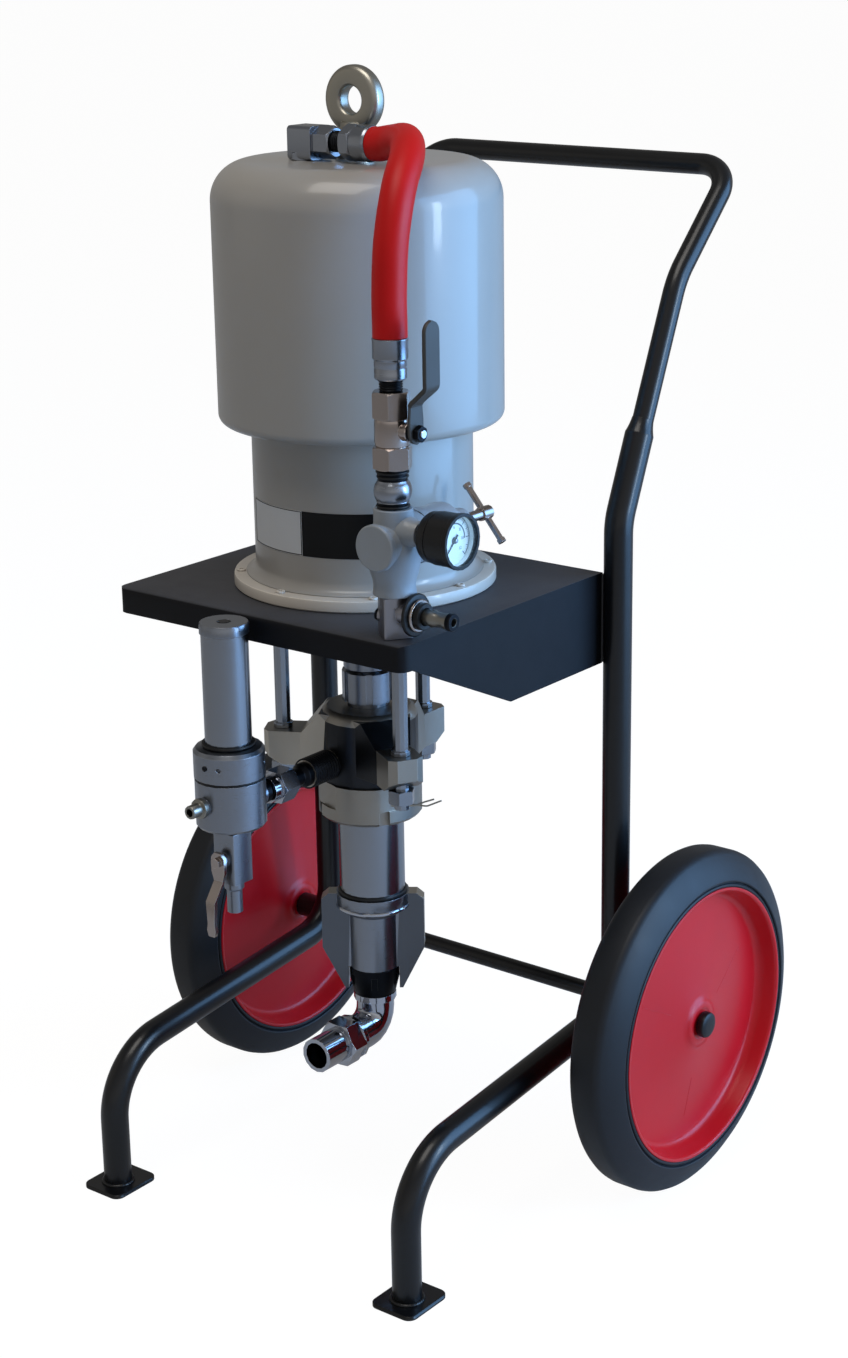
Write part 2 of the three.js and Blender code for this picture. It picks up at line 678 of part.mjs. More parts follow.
// Rubber hose in one bend from the motor's top down to the ball valve.
function airHose() {
  const curve = new THREE.CatmullRomCurve3([
    v3(57, FITTING_Y, FITTING_Z),
    v3(75, FITTING_Y - 3, FITTING_Z + 3),
    v3(101, -218, FITTING_Z + 6),
    v3(125, -246, FITTING_Z - 3),
    v3(140, -277, FITTING_Z - 27),
    v3(LINE_X, LINE_Y + 4, FITTING_Z - 68),
    v3(LINE_X, LINE_Y, FITTING_Z - 112),
    v3(LINE_X, LINE_Y, 900),
  ], false, 'centripetal');
  const from = v3(ELBOW_X + 27 + GAP + FERRULE_LENGTH + GAP, FITTING_Y, FITTING_Z);
  const to = v3(LINE_X, LINE_Y, HOSE_END_Z);
  return pipe([from, ...curve.getSpacedPoints(15), to], HOSE_R, 12);
}

// Crimped ferrule at the lower end, with the dark nipple that screws into the valve.
function hoseTail() {
  return revolve([
    [0, VALVE_Z + VALVE_HALF + GAP], [10, VALVE_Z + VALVE_HALF + GAP], [10, HOSE_END_Z - 36],
    [14.2, HOSE_END_Z - 34], [14.2, HOSE_END_Z - 19], [15.5, HOSE_END_Z - 18],
    [15.5, HOSE_END_Z - GAP], [0, HOSE_END_Z - GAP],
  ], 16, LINE);
}

// Two-piece ball valve: hexagon at each end, round waist and the stem boss.
function airValveBody() {
  const [low, high] = [VALVE_Z - VALVE_HALF, VALVE_Z + VALVE_HALF];
  const upper = nut(6, 30.5, high - 24, high, LINE);
  const lower = nut(6, 31.5, low, low + 20, LINE);
  const waist = revolve([
    [0, low + 15], [14, low + 15], [15.2, low + 26], [15.2, high - 27], [14, high - 19], [0, high - 19],
  ], 16, LINE);
  const boss = rodAlong('+x', 8, 8, 21, 10, { ...LINE, z: VALVE_Z });
  const solid = join(upper, lower, waist, boss);
  const bore = rod(8.5, low - 5, high + 5, 8, LINE);
  const pocket = toManifold(new THREE.SphereGeometry(13, 8, 6).translate(LINE_X, LINE_Y, VALVE_Z));
  const stem = rodAlong('+x', 4.5, 0, 25, 8, { ...LINE, z: VALVE_Z });
  return cut(solid, bore, pocket, stem);
}

// Ball with its bore, and the stem that carries the lever and its nut.
function airValveBall() {
  const globe = toManifold(new THREE.SphereGeometry(11, 8, 6).translate(LINE_X, LINE_Y, VALVE_Z));
  const neck = rodAlong('+x', 4, 6, 36, 8, { ...LINE, z: VALVE_Z });
  const top = nut(6, 13, 28.3, 34, { x: 0, y: 0 }).rotate([0, 90, 0]).translate([LINE_X, LINE_Y, VALVE_Z]);
  return cut(join(globe, neck, top), rod(7.6, VALVE_Z - 20, VALVE_Z + 20, 8, LINE));
}

// Cranked flat lever in its dip-moulded sleeve.
function airValveLever() {
  const side = [
    [24.6, -10], [28, -10], [28, 24], [46, 39], [46, 97], [45, 98.5], [43, 98.5], [42, 97],
    [42, 42], [24.6, 27],
  ];
  const profile = plate(side, 24).rotate([90, 0, 0]).translate([0, 12, 0]);
  const face = [];
  const tip = 98.5;
  const half = 10.4;
  for (let i = 0; i <= 8; i += 1) {
    const angle = (i * 22.5) * DEG;
    face.push([half * Math.cos(angle), tip - half + half * Math.sin(angle)]);
  }
  face.push([-half, 44], [-8.5, 30], [-10, 12], [-10, 2], [-6, -8], [6, -8], [10, 2], [10, 12], [8.5, 30],
    [half, 44]);
  const outline = plate(face, 60).rotate([90, 0, 90]);
  const hole = rodAlong('+x', 4.5, 20, 35, 8);
  return cut(profile.intersect(outline), hole).translate([LINE_X, LINE_Y, VALVE_Z]);
}

// Nipple and rounded union nut between the valve and the regulator.
function airUnion() {
  const [low, high] = [REGULATOR_TOP + GAP, VALVE_Z - VALVE_HALF - GAP];
  return revolve([
    [0, low], [13, low], [13, low + 4], [16.9, low + 10], [16.9, low + 19], [13, low + 26], [13, high],
    [0, high],
  ], 16, LINE);
}

// Cast regulator body: neck, round cross barrel, gauge boss and flared foot.
function regulatorBody() {
  const barrelPlace = { ...LINE, z: SCREW_Z };
  const column = revolve([
    [0, REGULATOR_LOW], [19.5, REGULATOR_LOW], [18.5, REGULATOR_LOW + 9], [22.5, SCREW_Z - 16],
    [23.5, SCREW_Z], [22.5, SCREW_Z + 12], [17.5, SCREW_Z + 22], [17.5, REGULATOR_TOP],
    [0, REGULATOR_TOP],
  ], 14, LINE);
  const barrel = revolveAlong('-y', [
    [0, -26], [24, -26], [24, -12], [19, -5], [19, 19], [20.2, 21], [20.2, 28], [0, 28],
  ], 16, barrelPlace);
  const gaugeBoss = revolveAlong('+x', [[0, 8], [12, 8], [10, 25], [0, 25]], 12, { ...LINE, z: GAUGE_Z });
  const rib = block(LINE_X - 3, LINE_Y - 24, 672, LINE_X + 3, LINE_Y + 22, 690);
  return join(column, barrel, gaugeBoss, rib);
}

// Spring bonnet behind the body, threaded for the adjusting screw.
function regulatorBonnet() {
  return revolveAlong('+y', [
    [19, 26 + GAP], [25, 26 + GAP], [25, 35], [23, 37], [23, 70], [12, 87], [12, 97], [5.6, 97],
    [5.6, 84], [19, 76],
  ], 16, { x: LINE_X, y: LINE_Y, z: SCREW_Z });
}

// Seat that the screw presses against the spring.
function springSeat() {
  return revolveAlong('+y', [
    [0, 60], [17, 60], [17, 65], [8, 70.5], [5.4, 70.5], [5.4, 68], [0, 68],
  ], 12, { x: LINE_X, y: LINE_Y, z: SCREW_Z });
}

// Adjusting screw with a cross hub and a sliding T-bar.
function regulatorScrew() {
  const place = { x: LINE_X, y: LINE_Y, z: SCREW_Z };
  const shaft = revolveAlong('+y', [
    [0, 68.4], [5, 68.4], [5, T_BAR_Y - 6.5], [6.5, T_BAR_Y - 6.5], [6.5, T_BAR_Y + 6.5],
    [0, T_BAR_Y + 6.5],
  ], 12, place);
  const bar = rod(3, -31, 31, 8);
  const knobs = join(rod(3.9, -32, -28, 8), rod(3.9, 28, 32, 8));
  const cross = join(bar, knobs).rotate([0, -40, 0]).translate([LINE_X, LINE_Y + T_BAR_Y, SCREW_Z]);
  return join(shaft, cross);
}

// Pressure gauge: black cup with a bezel, open to the front, on a threaded stem.
function gaugeCase() {
  const place = { ...LINE, z: GAUGE_Z };
  const cup = revolveAlong('+x', [
    [0, 48], [21, 48], [23.6, 51], [23.6, 70], [24.8, 71], [24.8, 75.5], [21.9, 75.5], [21.9, 66],
    [3.2, 66], [3.2, 63.6], [0, 63.6],
  ], 20, place);
  const stem = nut(6, 17, 31, 43, { x: 0, y: 0 }).rotate([0, 90, 0]).translate([LINE_X, LINE_Y, GAUGE_Z]);
  const thread = rodAlong('+x', 6.5, 25 + GAP, 50, 10, place);
  return join(cup, stem, thread);
}

function gaugeLens() {
  return rodAlong('+x', 21.5, 70.9, 72.8, 20, { ...LINE, z: GAUGE_Z });
}

// Needle on its arbor, stored against the zero stop.
function gaugeNeedle() {
  const pointer = plate([[-1.6, -7], [1.6, -7], [0.5, 17.5], [-0.5, 17.5]], 0.8);
  const arbor = join(rod(2.6, -0.5, 1.6, 10), rod(1.4, -3, 1, 8));
  return join(pointer, arbor).rotate([0, 0, 135]).rotate([90, 0, 90])
    .translate([LINE_X + 67.2, LINE_Y, GAUGE_Z]);
}

// Square block under the regulator that takes the air supply from the right.
function inletBlock() {
  const low = TRAY.top + GAP;
  const body = plate(roundedOutline(-14.5, -16, 14.5, 16, 3.5, 2), 37.5).translate([LINE_X, LINE_Y, low]);
  const neck = rod(13, 660, 664.7, 14, LINE);
  const seat = rodAlong('+x', 13, 12, 17.5, 14, { ...LINE, z: INLET_Z });
  const drain = join(rodAlong('-x', 3, 12, 20, 8, { ...LINE, z: INLET_Z - 6 }),
    rodAlong('-x', 4.2, 20, 23, 6, { ...LINE, z: INLET_Z - 6 }));
  return join(body, neck, seat, drain);
}

// Supply plug: flange ring, waist and a ribbed tip with an open mouth.
function inletPlug() {
  return revolveAlong('+x', [
    [4, 17.8], [14, 17.8], [14, 22], [9, 23], [9, 30], [7.2, 31], [7.2, 40], [8.2, 43], [6.6, 47],
    [6.6, 54], [7.4, 58], [6.8, 65], [4, 65],
  ], 12, { ...LINE, z: INLET_Z });
}

// ---- high-pressure filter ----

function filterHead() {
  const drum = revolve([
    [0, 431.5], [31, 431.5], [33, 434], [33, 477.3], [24.4, 477.3], [24.4, 470], [19, 466], [19, 446],
    [0, 442],
  ], 20, FILTER);
  const reach = LINK_TO - FILTER_Y;
  const outlet = { x: OUTLET_X, y: FILTER_Y, z: OUTLET_Z };
  const link = rodAlong('+y', 11, 24, reach, 14, { ...FILTER, z: PORT_Z });
  const plug = rodAlong('-y', 9, 28, 34.5, 12, outlet);
  const bore = rodAlong('+y', 6, 10, reach + 2, 8, { ...FILTER, z: PORT_Z });
  const spoutBore = rodAlong('-y', 4, 10, 36, 8, outlet);
  const drainBore = rod(5, 430, 444, 8, FILTER);
  return cut(join(drum, link, plug), bore, spoutBore, drainBore);
}

function filterRingNut() {
  const plain = revolve([
    [22.3, 480], [33.4, 480], [33.4, 504], [31, 507.5], [22.3, 509],
  ], 20, FILTER);
  const holes = [];
  for (let i = 0; i < 4; i += 1) {
    holes.push(rodAlong('+x', 2.6, 29, 40, 6).rotate([0, 0, 90 * i + 25])
      .translate([FILTER_X, FILTER_Y, 494]));
  }
  return cut(plain, ...holes);
}

function filterTube() {
  return revolve([
    [17.5, 470.5], [24, 470.5], [24, 478], [21.8, 480], [21.8, 615.5], [17.5, 615.5],
  ], 20, FILTER);
}

// Closing cap with its hexagon socket.
function filterCap() {
  const cap = revolve([
    [0, 604], [17, 604], [17, 616], [23, 616], [23, 624], [22, 625.8], [0, 625.8],
  ], 20, FILTER);
  const socket = rod(7, 616, 630, 6, FILTER);
  return cut(cap, socket);
}

// Wire-wound filter element: end rings with a ribbed screen between.
function filterElement() {
  const profile = [[9, 468], [15, 468], [15, 476]];
  for (let i = 0; i < 4; i += 1) {
    const z = 478 + i * 30;
    profile.push([13, z], [13, z + 26], [14.4, z + 28]);
  }
  profile.push([15, 599], [15, 603], [9, 603]);
  return revolve(profile, 8, FILTER);
}

// Pipe from the pump's outlet boss to the filter, with a union nut.
function linkPipe() {
  const from = LINK_FROM - GAP;
  const length = from - (LINK_TO + GAP);
  const profile = [
    [6, 0], [12.2, 0], [12.2, 6], [9, 10], [9, length - 7], [11, length - 5.5], [11, length], [6, length],
  ];
  return revolveAlong('-y', profile, 14, { x: FILTER_X, y: from, z: PORT_Z });
}

function linkNut() {
  const solid = nut(6, 30, 26, 46, { x: 0, y: 0 }).rotate([90, 0, 0]);
  const collar = rodAlong('-y', 13, 44, 56, 14);
  const bore = rodAlong('-y', 9.5, 20, 60, 14);
  return cut(join(solid, collar), bore).translate([FILTER_X, LINK_FROM - GAP, PORT_Z]);
}

// Threaded paint outlet at the front of the filter head.
function outletNipple() {
  return revolveAlong('-y', [
    [4, 34.8], [9.6, 34.8], [9.6, 39], [6.4, 40], [6.4, 50.4], [6, 51], [4, 51],
  ], 12, { x: OUTLET_X, y: FILTER_Y, z: OUTLET_Z });
}

// Drain valve: square body under the head, spout below, stem boss at the front.
function drainValveBody() {
  const body = plate(roundedOutline(-13, -13, 13, 13, 2.5, 2), 50).translate([FILTER_X, FILTER_Y, 375]);
  const neck = rod(10, 420, 431.2, 14, FILTER);
  const spout = revolve([
    [0, 344], [7.5, 344], [7.5, 366], [9.5, 368], [9.5, 378], [0, 378],
  ], 12, FILTER);
  const boss = rodAlong('-y', 7.5, 10, 17, 12, { ...FILTER, z: DRAIN_Z });
  const bore = rod(4.5, 340, 440, 8, FILTER);
  const stem = rodAlong('-y', 3.4, 0, 20, 8, { ...FILTER, z: DRAIN_Z });
  const pocket = toManifold(new THREE.SphereGeometry(8.4, 8, 5).translate(FILTER_X, FILTER_Y, DRAIN_Z));
  return cut(join(body, neck, spout, boss), bore, stem, pocket);
}

// Drain ball with its stem, nut and the cranked lever, one turning piece.
function drainLever() {
  const globe = toManifold(new THREE.SphereGeometry(7.4, 8, 5));
  const neck = rodAlong('-y', 3, 4, 24.5, 8);
  const cap = rodAlong('-y', 5.4, 21.3, 25.2, 6);
  const side = plate([
    [17.6, 9], [21.4, 9], [21.4, -19], [33.5, -36], [33.5, -70], [29.5, -70], [29.5, -35], [17.6, -18],
  ], 24).rotate([90, 0, -90]).translate([12, 0, 0]);
  const face = plate([
    [-8, 4], [-4, 9], [4, 9], [8, 4], [8, -10], [5.5, -18], [5.5, -34], [4.2, -58], [5.4, -64], [3.5, -70],
    [-3.5, -70], [-5.4, -64], [-4.2, -58], [-5.5, -34], [-5.5, -18], [-8, -10],
  ], 40).rotate([90, 0, 0]);
  const lever = side.intersect(face);
  const bore = rod(3.5, -12, 12, 8);
  return cut(join(globe, neck, cap, lever), bore).translate([FILTER_X, FILTER_Y, DRAIN_Z]);
}

// ---- assembly ----

const sprayer = new THREE.Group();
sprayer.position.y = CENTRE_Y;

function section() {
  const part = new THREE.Group();
  sprayer.add(part);
  return part;
}

function finish(color, roughness, metalness) {
  return { color, roughness, metalness };
}

const FINISH = {
  blackPaint: finish(0x14161a, 0.35, 0.2),
  trayPaint: finish(0x3a3b3e, 0.5, 0.2),
  motorPaint: finish(0xb9bcc0, 0.3, 0.1),
  ivoryPaint: finish(0xc6c3bb, 0.4, 0.1),
  castPaint: finish(0xa9aeb8, 0.45, 0.1),
  stainless: finish(0x8a8f98, 0.35, 0.9),
  darkSteel: finish(0x2c2f35, 0.45, 0.8),
  nickel: finish(0x9a948c, 0.3, 0.9),
  chrome: finish(0xc8ccd0, 0.12, 1),
  rubber: finish(0x20252b, 0.7, 0),
  redPlastic: finish(0xb81a2c, 0.4, 0),
  redHose: finish(0xc41a1a, 0.5, 0),
  blackPlastic: finish(0x131416, 0.5, 0),
  sleeve: finish(0x3c4144, 0.6, 0),
  glass: finish(0xe8f4f2, 0.05, 0),
};

function add(part, name, solid, surface) {
  const mesh = new THREE.Mesh(toGeometry(solid), new THREE.MeshStandardMaterial(surface));
  mesh.name = name;
  part.add(mesh);
}

const cart = section();
const motor = section();
const airLine = section();
const pump = section();
const filter = section();

for (const [side, end] of [[1, 'right'], [-1, 'left']]) {
  add(cart, `side_tube_${end}`, sideTube(side), FINISH.blackPaint);
  add(cart, `tyre_${end}`, tyre(side), FINISH.rubber);
  add(cart, `wheel_disc_${end}`, wheelDisc(side), FINISH.redPlastic);
  add(cart, `hub_cap_${end}`, hubCap(side), FINISH.blackPlastic);
}
add(cart, 'handle_bow', handleBow(), FINISH.blackPaint);
add(cart, 'axle', axle(), FINISH.blackPaint);
add(cart, 'tray', tray(), FINISH.trayPaint);

add(motor, 'motor_base', motorBase(), FINISH.ivoryPaint);
add(motor, 'motor_cylinder', motorCylinder(), FINISH.motorPaint);
add(motor, 'motor_shroud', motorShroud(), FINISH.motorPaint);
add(motor, 'lifting_eye', liftingEye(), FINISH.nickel);
add(motor, 'air_piston', airPiston(), FINISH.stainless);
add(motor, 'piston_rod', pistonRod(), FINISH.chrome);

add(airLine, 'top_elbow', topElbow(), FINISH.nickel);
add(airLine, 'hose_swivel', hoseSwivel(), FINISH.nickel);
add(airLine, 'air_hose', airHose(), FINISH.redHose);
add(airLine, 'hose_tail', hoseTail(), FINISH.nickel);
add(airLine, 'air_valve_body', airValveBody(), FINISH.nickel);
add(airLine, 'air_valve_ball', airValveBall(), FINISH.chrome);
add(airLine, 'air_valve_lever', airValveLever(), FINISH.sleeve);
add(airLine, 'air_union', airUnion(), FINISH.nickel);
add(airLine, 'regulator_body', regulatorBody(), FINISH.castPaint);
add(airLine, 'regulator_bonnet', regulatorBonnet(), FINISH.castPaint);
add(airLine, 'spring_seat', springSeat(), FINISH.stainless);
add(airLine, 'regulator_screw', regulatorScrew(), FINISH.nickel);
add(airLine, 'gauge_case', gaugeCase(), FINISH.blackPlastic);
add(airLine, 'gauge_lens', gaugeLens(), FINISH.glass);
add(airLine, 'gauge_needle', gaugeNeedle(), FINISH.blackPlastic);
add(airLine, 'inlet_block', inletBlock(), FINISH.stainless);
add(airLine, 'inlet_plug', inletPlug(), FINISH.nickel);

TIE_ANGLES.forEach((angle, i) => add(pump, `tie_rod_${i + 1}`, tieRod(angle), FINISH.stainless));
add(pump, 'rod_coupling', rodCoupling(), FINISH.stainless);
add(pump, 'packing_nut', packingNut(), FINISH.stainless);
add(pump, 'outlet_housing', outletHousing(), FINISH.stainless);
add(pump, 'cylinder_ring', cylinderRing(), FINISH.stainless);
add(pump, 'pump_cylinder', pumpCylinder(), FINISH.stainless);
add(pump, 'displacement_rod', displacementRod(), FINISH.chrome);
add(pump, 'piston_ball', ball(8.5, 316, 10), FINISH.chrome);
add(pump, 'intake_housing', intakeHousing(), FINISH.stainless);
add(pump, 'foot_valve_ball', ball(11, 242, 10), FINISH.chrome);
add(pump, 'intake_nut', intakeNut(), FINISH.darkSteel);
add(pump, 'intake_elbow', intakeElbow(), FINISH.chrome);
add(pump, 'intake_union', intakeUnion(), FINISH.nickel);

add(filter, 'filter_head', filterHead(), FINISH.stainless);
add(filter, 'filter_ring_nut', filterRingNut(), FINISH.stainless);
add(filter, 'filter_tube', filterTube(), FINISH.stainless);
add(filter, 'filter_cap', filterCap(), FINISH.stainless);
add(filter, 'filter_element', filterElement(), FINISH.chrome);
add(filter, 'link_pipe', linkPipe(), FINISH.darkSteel);
add(filter, 'link_nut', linkNut(), FINISH.nickel);
add(filter, 'outlet_nipple', outletNipple(), FINISH.nickel);
add(filter, 'drain_valve', drainValveBody(), FINISH.stainless);
add(filter, 'drain_lever', drainLever(), FINISH.nickel);

export default sprayer;
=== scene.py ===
import math
import random

import bmesh
import bpy
from mathutils import Matrix, Vector


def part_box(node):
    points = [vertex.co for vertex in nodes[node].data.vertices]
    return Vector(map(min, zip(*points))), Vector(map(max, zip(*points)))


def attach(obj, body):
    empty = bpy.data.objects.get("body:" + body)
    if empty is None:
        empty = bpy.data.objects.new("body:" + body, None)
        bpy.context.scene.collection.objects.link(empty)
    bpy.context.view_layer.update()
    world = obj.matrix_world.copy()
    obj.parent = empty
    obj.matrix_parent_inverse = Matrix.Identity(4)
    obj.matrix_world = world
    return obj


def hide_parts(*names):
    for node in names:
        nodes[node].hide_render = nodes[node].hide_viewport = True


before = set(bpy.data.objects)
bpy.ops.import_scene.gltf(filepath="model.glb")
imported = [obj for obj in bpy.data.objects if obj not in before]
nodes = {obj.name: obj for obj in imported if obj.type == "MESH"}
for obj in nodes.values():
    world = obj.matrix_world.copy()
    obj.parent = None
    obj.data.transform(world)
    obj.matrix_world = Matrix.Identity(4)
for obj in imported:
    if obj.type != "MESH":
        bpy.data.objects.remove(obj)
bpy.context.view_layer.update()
random.seed(7)

MM = 0.001
Y0 = 104.0  # the axle's y in the row frame, in millimetres
AXLE_Z = 175.0
WHEEL_X = 262.0
FRAME_X = 188.0
# Vertical axes of the motor and pump, of the air line and of the filter, as x and y.
PUMP = (0.0, -164.0)
LINE = (145.0, -298.5)
FILTER = (-11.0, -352.0)


def at(x, y, z):
    """Point in metres in the row frame from millimetres with y measured from the axle."""
    return Vector((x * MM, (y + Y0) * MM, z * MM))


def cosd(angle):
    return math.cos(math.radians(angle))


def sind(angle):
    return math.sin(math.radians(angle))


# ---- camera ----

AZIMUTH, PITCH, ROLL = 37.11, 17.25, -0.5
PHOTO_HEIGHT = 1358.0  # pixels, the longer side
FOCAL = 2457.17  # pixels
SHIFT = (-55.02, -15.32)  # pixels


def add_camera():
    ahead = Vector((-sind(AZIMUTH) * cosd(PITCH), cosd(AZIMUTH) * cosd(PITCH), -sind(PITCH)))
    right = Vector((cosd(AZIMUTH), sind(AZIMUTH), 0.0))
    up = right.cross(ahead)
    side = right * cosd(ROLL) + up * sind(ROLL)
    top = -right * sind(ROLL) + up * cosd(ROLL)
    data = bpy.data.cameras.new("camera")
    camera = bpy.data.objects.new("camera", data)
    bpy.context.scene.collection.objects.link(camera)
    turn = Matrix((side, top, -ahead)).transposed()
    camera.matrix_world = Matrix.Translation(at(1456.51, -1910.53, 1244.55)) @ turn.to_4x4()
    data.sensor_fit = "AUTO"
    data.sensor_width = 36.0
    data.lens = FOCAL * data.sensor_width / PHOTO_HEIGHT
    data.shift_x, data.shift_y = (shift / PHOTO_HEIGHT for shift in SHIFT)
    data.clip_start, data.clip_end = 0.05, 50.0
    bpy.context.scene.camera = camera


add_camera()
bpy.context.scene.view_settings.view_transform = "Standard"


# ---- node trees ----

class Nodes:
    """Small helper round the node tree of a material or a world."""

    def __init__(self, owner, empty=False):
        owner.use_nodes = True
        self.owner, self.tree = owner, owner.node_tree
        if empty:
            self.tree.nodes.clear()
        else:
            self.shader = self.tree.nodes["Principled BSDF"]
        self.coords = self.tree.nodes.new("ShaderNodeTexCoord").outputs

    def plug(self, value, socket):
        """Links an output to the socket, or sets the socket to a number, vector or colour."""
        if hasattr(value, "is_linked"):
            self.tree.links.new(value, socket)
        elif isinstance(value, tuple) and len(value) == 3 and len(socket.default_value) == 4:
            socket.default_value = (*value, 1.0)
        else:
            socket.default_value = value

    def node(self, kind, *inputs, **values):
        """New node; a named value goes to the input of that name, or else to the node itself."""
        made = self.tree.nodes.new("ShaderNode" + kind)
        for key, value in values.items():
            name = key.replace("_", " ")
            if name in made.inputs:
                self.plug(value, made.inputs[name])
            else:
                setattr(made, key, value)
        for value, socket in zip(inputs, made.inputs):
            self.plug(value, socket)
        return made

    def set(self, **values):
        for key, value in values.items():
            self.plug(value, self.shader.inputs[key.replace("_", " ")])

    def math(self, operation, first, second, clamp=False):
        return self.node("Math", first, second, operation=operation, use_clamp=clamp).outputs[0]

    def dot(self, first, second):
        return self.node("VectorMath", first, second, operation="DOT_PRODUCT").outputs["Value"]

    def noise(self, scale, detail=4.0, stretch=None):
        vector = self.coords["Object"]
        if stretch:
            vector = self.node("Mapping", Scale=stretch, Vector=vector).outputs["Vector"]
        return self.node("TexNoise", Scale=scale, Detail=detail, Roughness=0.55, Vector=vector).outputs["Fac"]

    def ramp(self, factor, *stops):
        """Colour between two stops, each a place and a colour."""
        ramp = self.node("ValToRGB", Fac=factor)
        for element, (place, color) in zip(ramp.color_ramp.elements, stops):
            element.position, element.color = place, (*color, 1.0)
        return ramp.outputs["Color"]

    def mix(self, factor, first, second):
        mix = self.node("Mix", data_type="RGBA")
        for index, value in ((0, factor), (6, first), (7, second)):
            self.plug(value, mix.inputs[index])
        return mix.outputs[2]

    def span(self, factor, low, high, start=0.0, end=1.0):
        """The factor's range from start to end, turned into the one from low to high."""
        return self.node("MapRange", Value=factor, From_Min=start, From_Max=end, To_Min=low, To_Max=high).outputs[0]

    def rounded(self, radius):
        """Normal with its sharp edges rounded."""
        return self.node("Bevel", samples=4, Radius=radius).outputs["Normal"]

    def edges(self):
        """Mask of worn edges: where the rounded normal leaves the flat one."""
        flat = self.node("NewGeometry").outputs["Normal"]
        return self.span(self.dot(self.rounded(0.0009), flat), 0.0, 1.0, 0.998, 0.95)

    def bump(self, scale, strength, distance, radius, stretch=None):
        """Fine noise in relief, over edges rounded by the radius."""
        relief = self.node("Bump", Strength=strength, Distance=distance, Normal=self.rounded(radius),
                           Height=self.noise(scale, 2.0, stretch))
        self.set(Normal=relief.outputs["Normal"])

    def seen(self, path):
        """1 for the camera's own rays, also through glass."""
        return self.math("ADD", path["Is Camera Ray"], path["Is Transmission Ray"], True)

    def surface(self, kind, share, first, second):
        """Ends the tree in a mix of two shaders."""
        mix = self.node("MixShader", share, first.outputs[0], second.outputs[0])
        self.node(kind, Surface=mix.outputs[0])


def rgb(hex_color):
    """Linear colour from an sRGB hex number."""
    parts = [((hex_color >> shift) & 255) / 255.0 for shift in (16, 8, 0)]
    return tuple(c / 12.92 if c <= 0.04045 else ((c + 0.055) / 1.055) ** 2.4 for c in parts)


def scaled(color, factor, lift=0.0):
    return tuple(min(1.0, c * factor + lift) for c in color)


def paint(name, color, roughness, peel=0.05, coat=0.0, dirt=0.08, wear=0.0, peel_scale=900.0, gloss=0.5):
    """Sprayed or powder-coated paint: slight mottling, orange peel, a little dust and worn edges."""
    n = Nodes(bpy.data.materials.new(name))
    base = rgb(color)
    tone = n.ramp(n.noise(6.0, 5.0), (0.3, scaled(base, 1 - dirt)), (0.7, scaled(base, 1 + dirt * 0.6, 0.001)))
    if wear > 0:
        tone = n.mix(n.edges(), tone, scaled(base, 1.6, wear))
    n.set(Base_Color=tone, Roughness=n.span(n.noise(22.0, 3.0), roughness * 0.85, roughness * 1.2),
          Coat_Weight=coat, Coat_Roughness=0.08, Specular_IOR_Level=gloss)
    n.bump(peel_scale, peel, 0.0004, 0.0008)
    return n.owner


def metal(name, color, roughness, scratches=0.15, tint=0.15, edge=0.25, cast=False):
    """Machined, plated or cast metal: turning marks along one direction, smudges and bright edges."""
    n = Nodes(bpy.data.materials.new(name))
    base = rgb(color)
    tone = n.ramp(n.noise(14.0, 6.0), (0.25, scaled(base, 1 - tint)), (0.75, base))
    tone = n.mix(n.edges(), tone, scaled(base, 1 + edge, 0.02))
    grain = n.noise(60.0, 3.0, (1.0, 1.0, 1.0 if cast else 26.0))
    n.set(Base_Color=tone, Metallic=1.0, Roughness=n.span(grain, roughness * 0.92, roughness * 1.1))
    n.bump(140.0, scratches, 0.0003, 0.0005, (1.0, 1.0, 1.0 if cast else 22.0))
    return n.owner


def plastic(name, color, roughness, grain=0.08, tint=0.1, gloss=0.5):
    """Moulded plastic or rubber with a fine grain and faint flow marks."""
    n = Nodes(bpy.data.materials.new(name))
    base = rgb(color)
    tone = n.ramp(n.noise(9.0, 3.0), (0.3, scaled(base, 1 - tint)), (0.7, scaled(base, 1 + tint)))
    n.set(Base_Color=tone, Roughness=n.span(n.noise(35.0, 3.0), roughness * 0.85, roughness * 1.15),
          Specular_IOR_Level=gloss)
    n.bump(1400.0, grain, 0.0003, 0.0007)
    return n.owner


def tray_finish():
    """Powder-coated sheet: a grey top painted lighter as painted light, and lips and sides painted near black as
    painted shade.
    """
    n = Nodes(bpy.data.materials.new("tray_coat"))
    parts = n.node("SeparateXYZ", n.node("NewGeometry").outputs["Normal"])
    # Painted light and shade: upward faces take a lighter grey tone, the lips and sides a near-black one.
    lit_top_share = n.span(parts.outputs["Z"], 0.0, 1.0, 0.75, 0.95)
    side = n.ramp(n.noise(7.0, 4.0), (0.3, rgb(0x06070B)), (0.7, rgb(0x0B0D14)))
    top = n.ramp(n.noise(9.0, 6.0), (0.3, rgb(0x3A3B3F)), (0.7, rgb(0x48494E)))
    n.set(Base_Color=n.mix(lit_top_share, side, top), Roughness=n.span(n.noise(24.0, 3.0), 0.46, 0.6),
          Specular_IOR_Level=0.18)
    n.bump(1000.0, 0.1, 0.0004, 0.001)
    return n.owner


def glass_finish():
    n = Nodes(bpy.data.materials.new("gauge_glass"))
    n.set(Base_Color=(0.95, 1.0, 0.99), Roughness=n.span(n.noise(30.0), 0.02, 0.06), IOR=1.3, Alpha=0.07)
    return n.owner


# ---- finishes ----

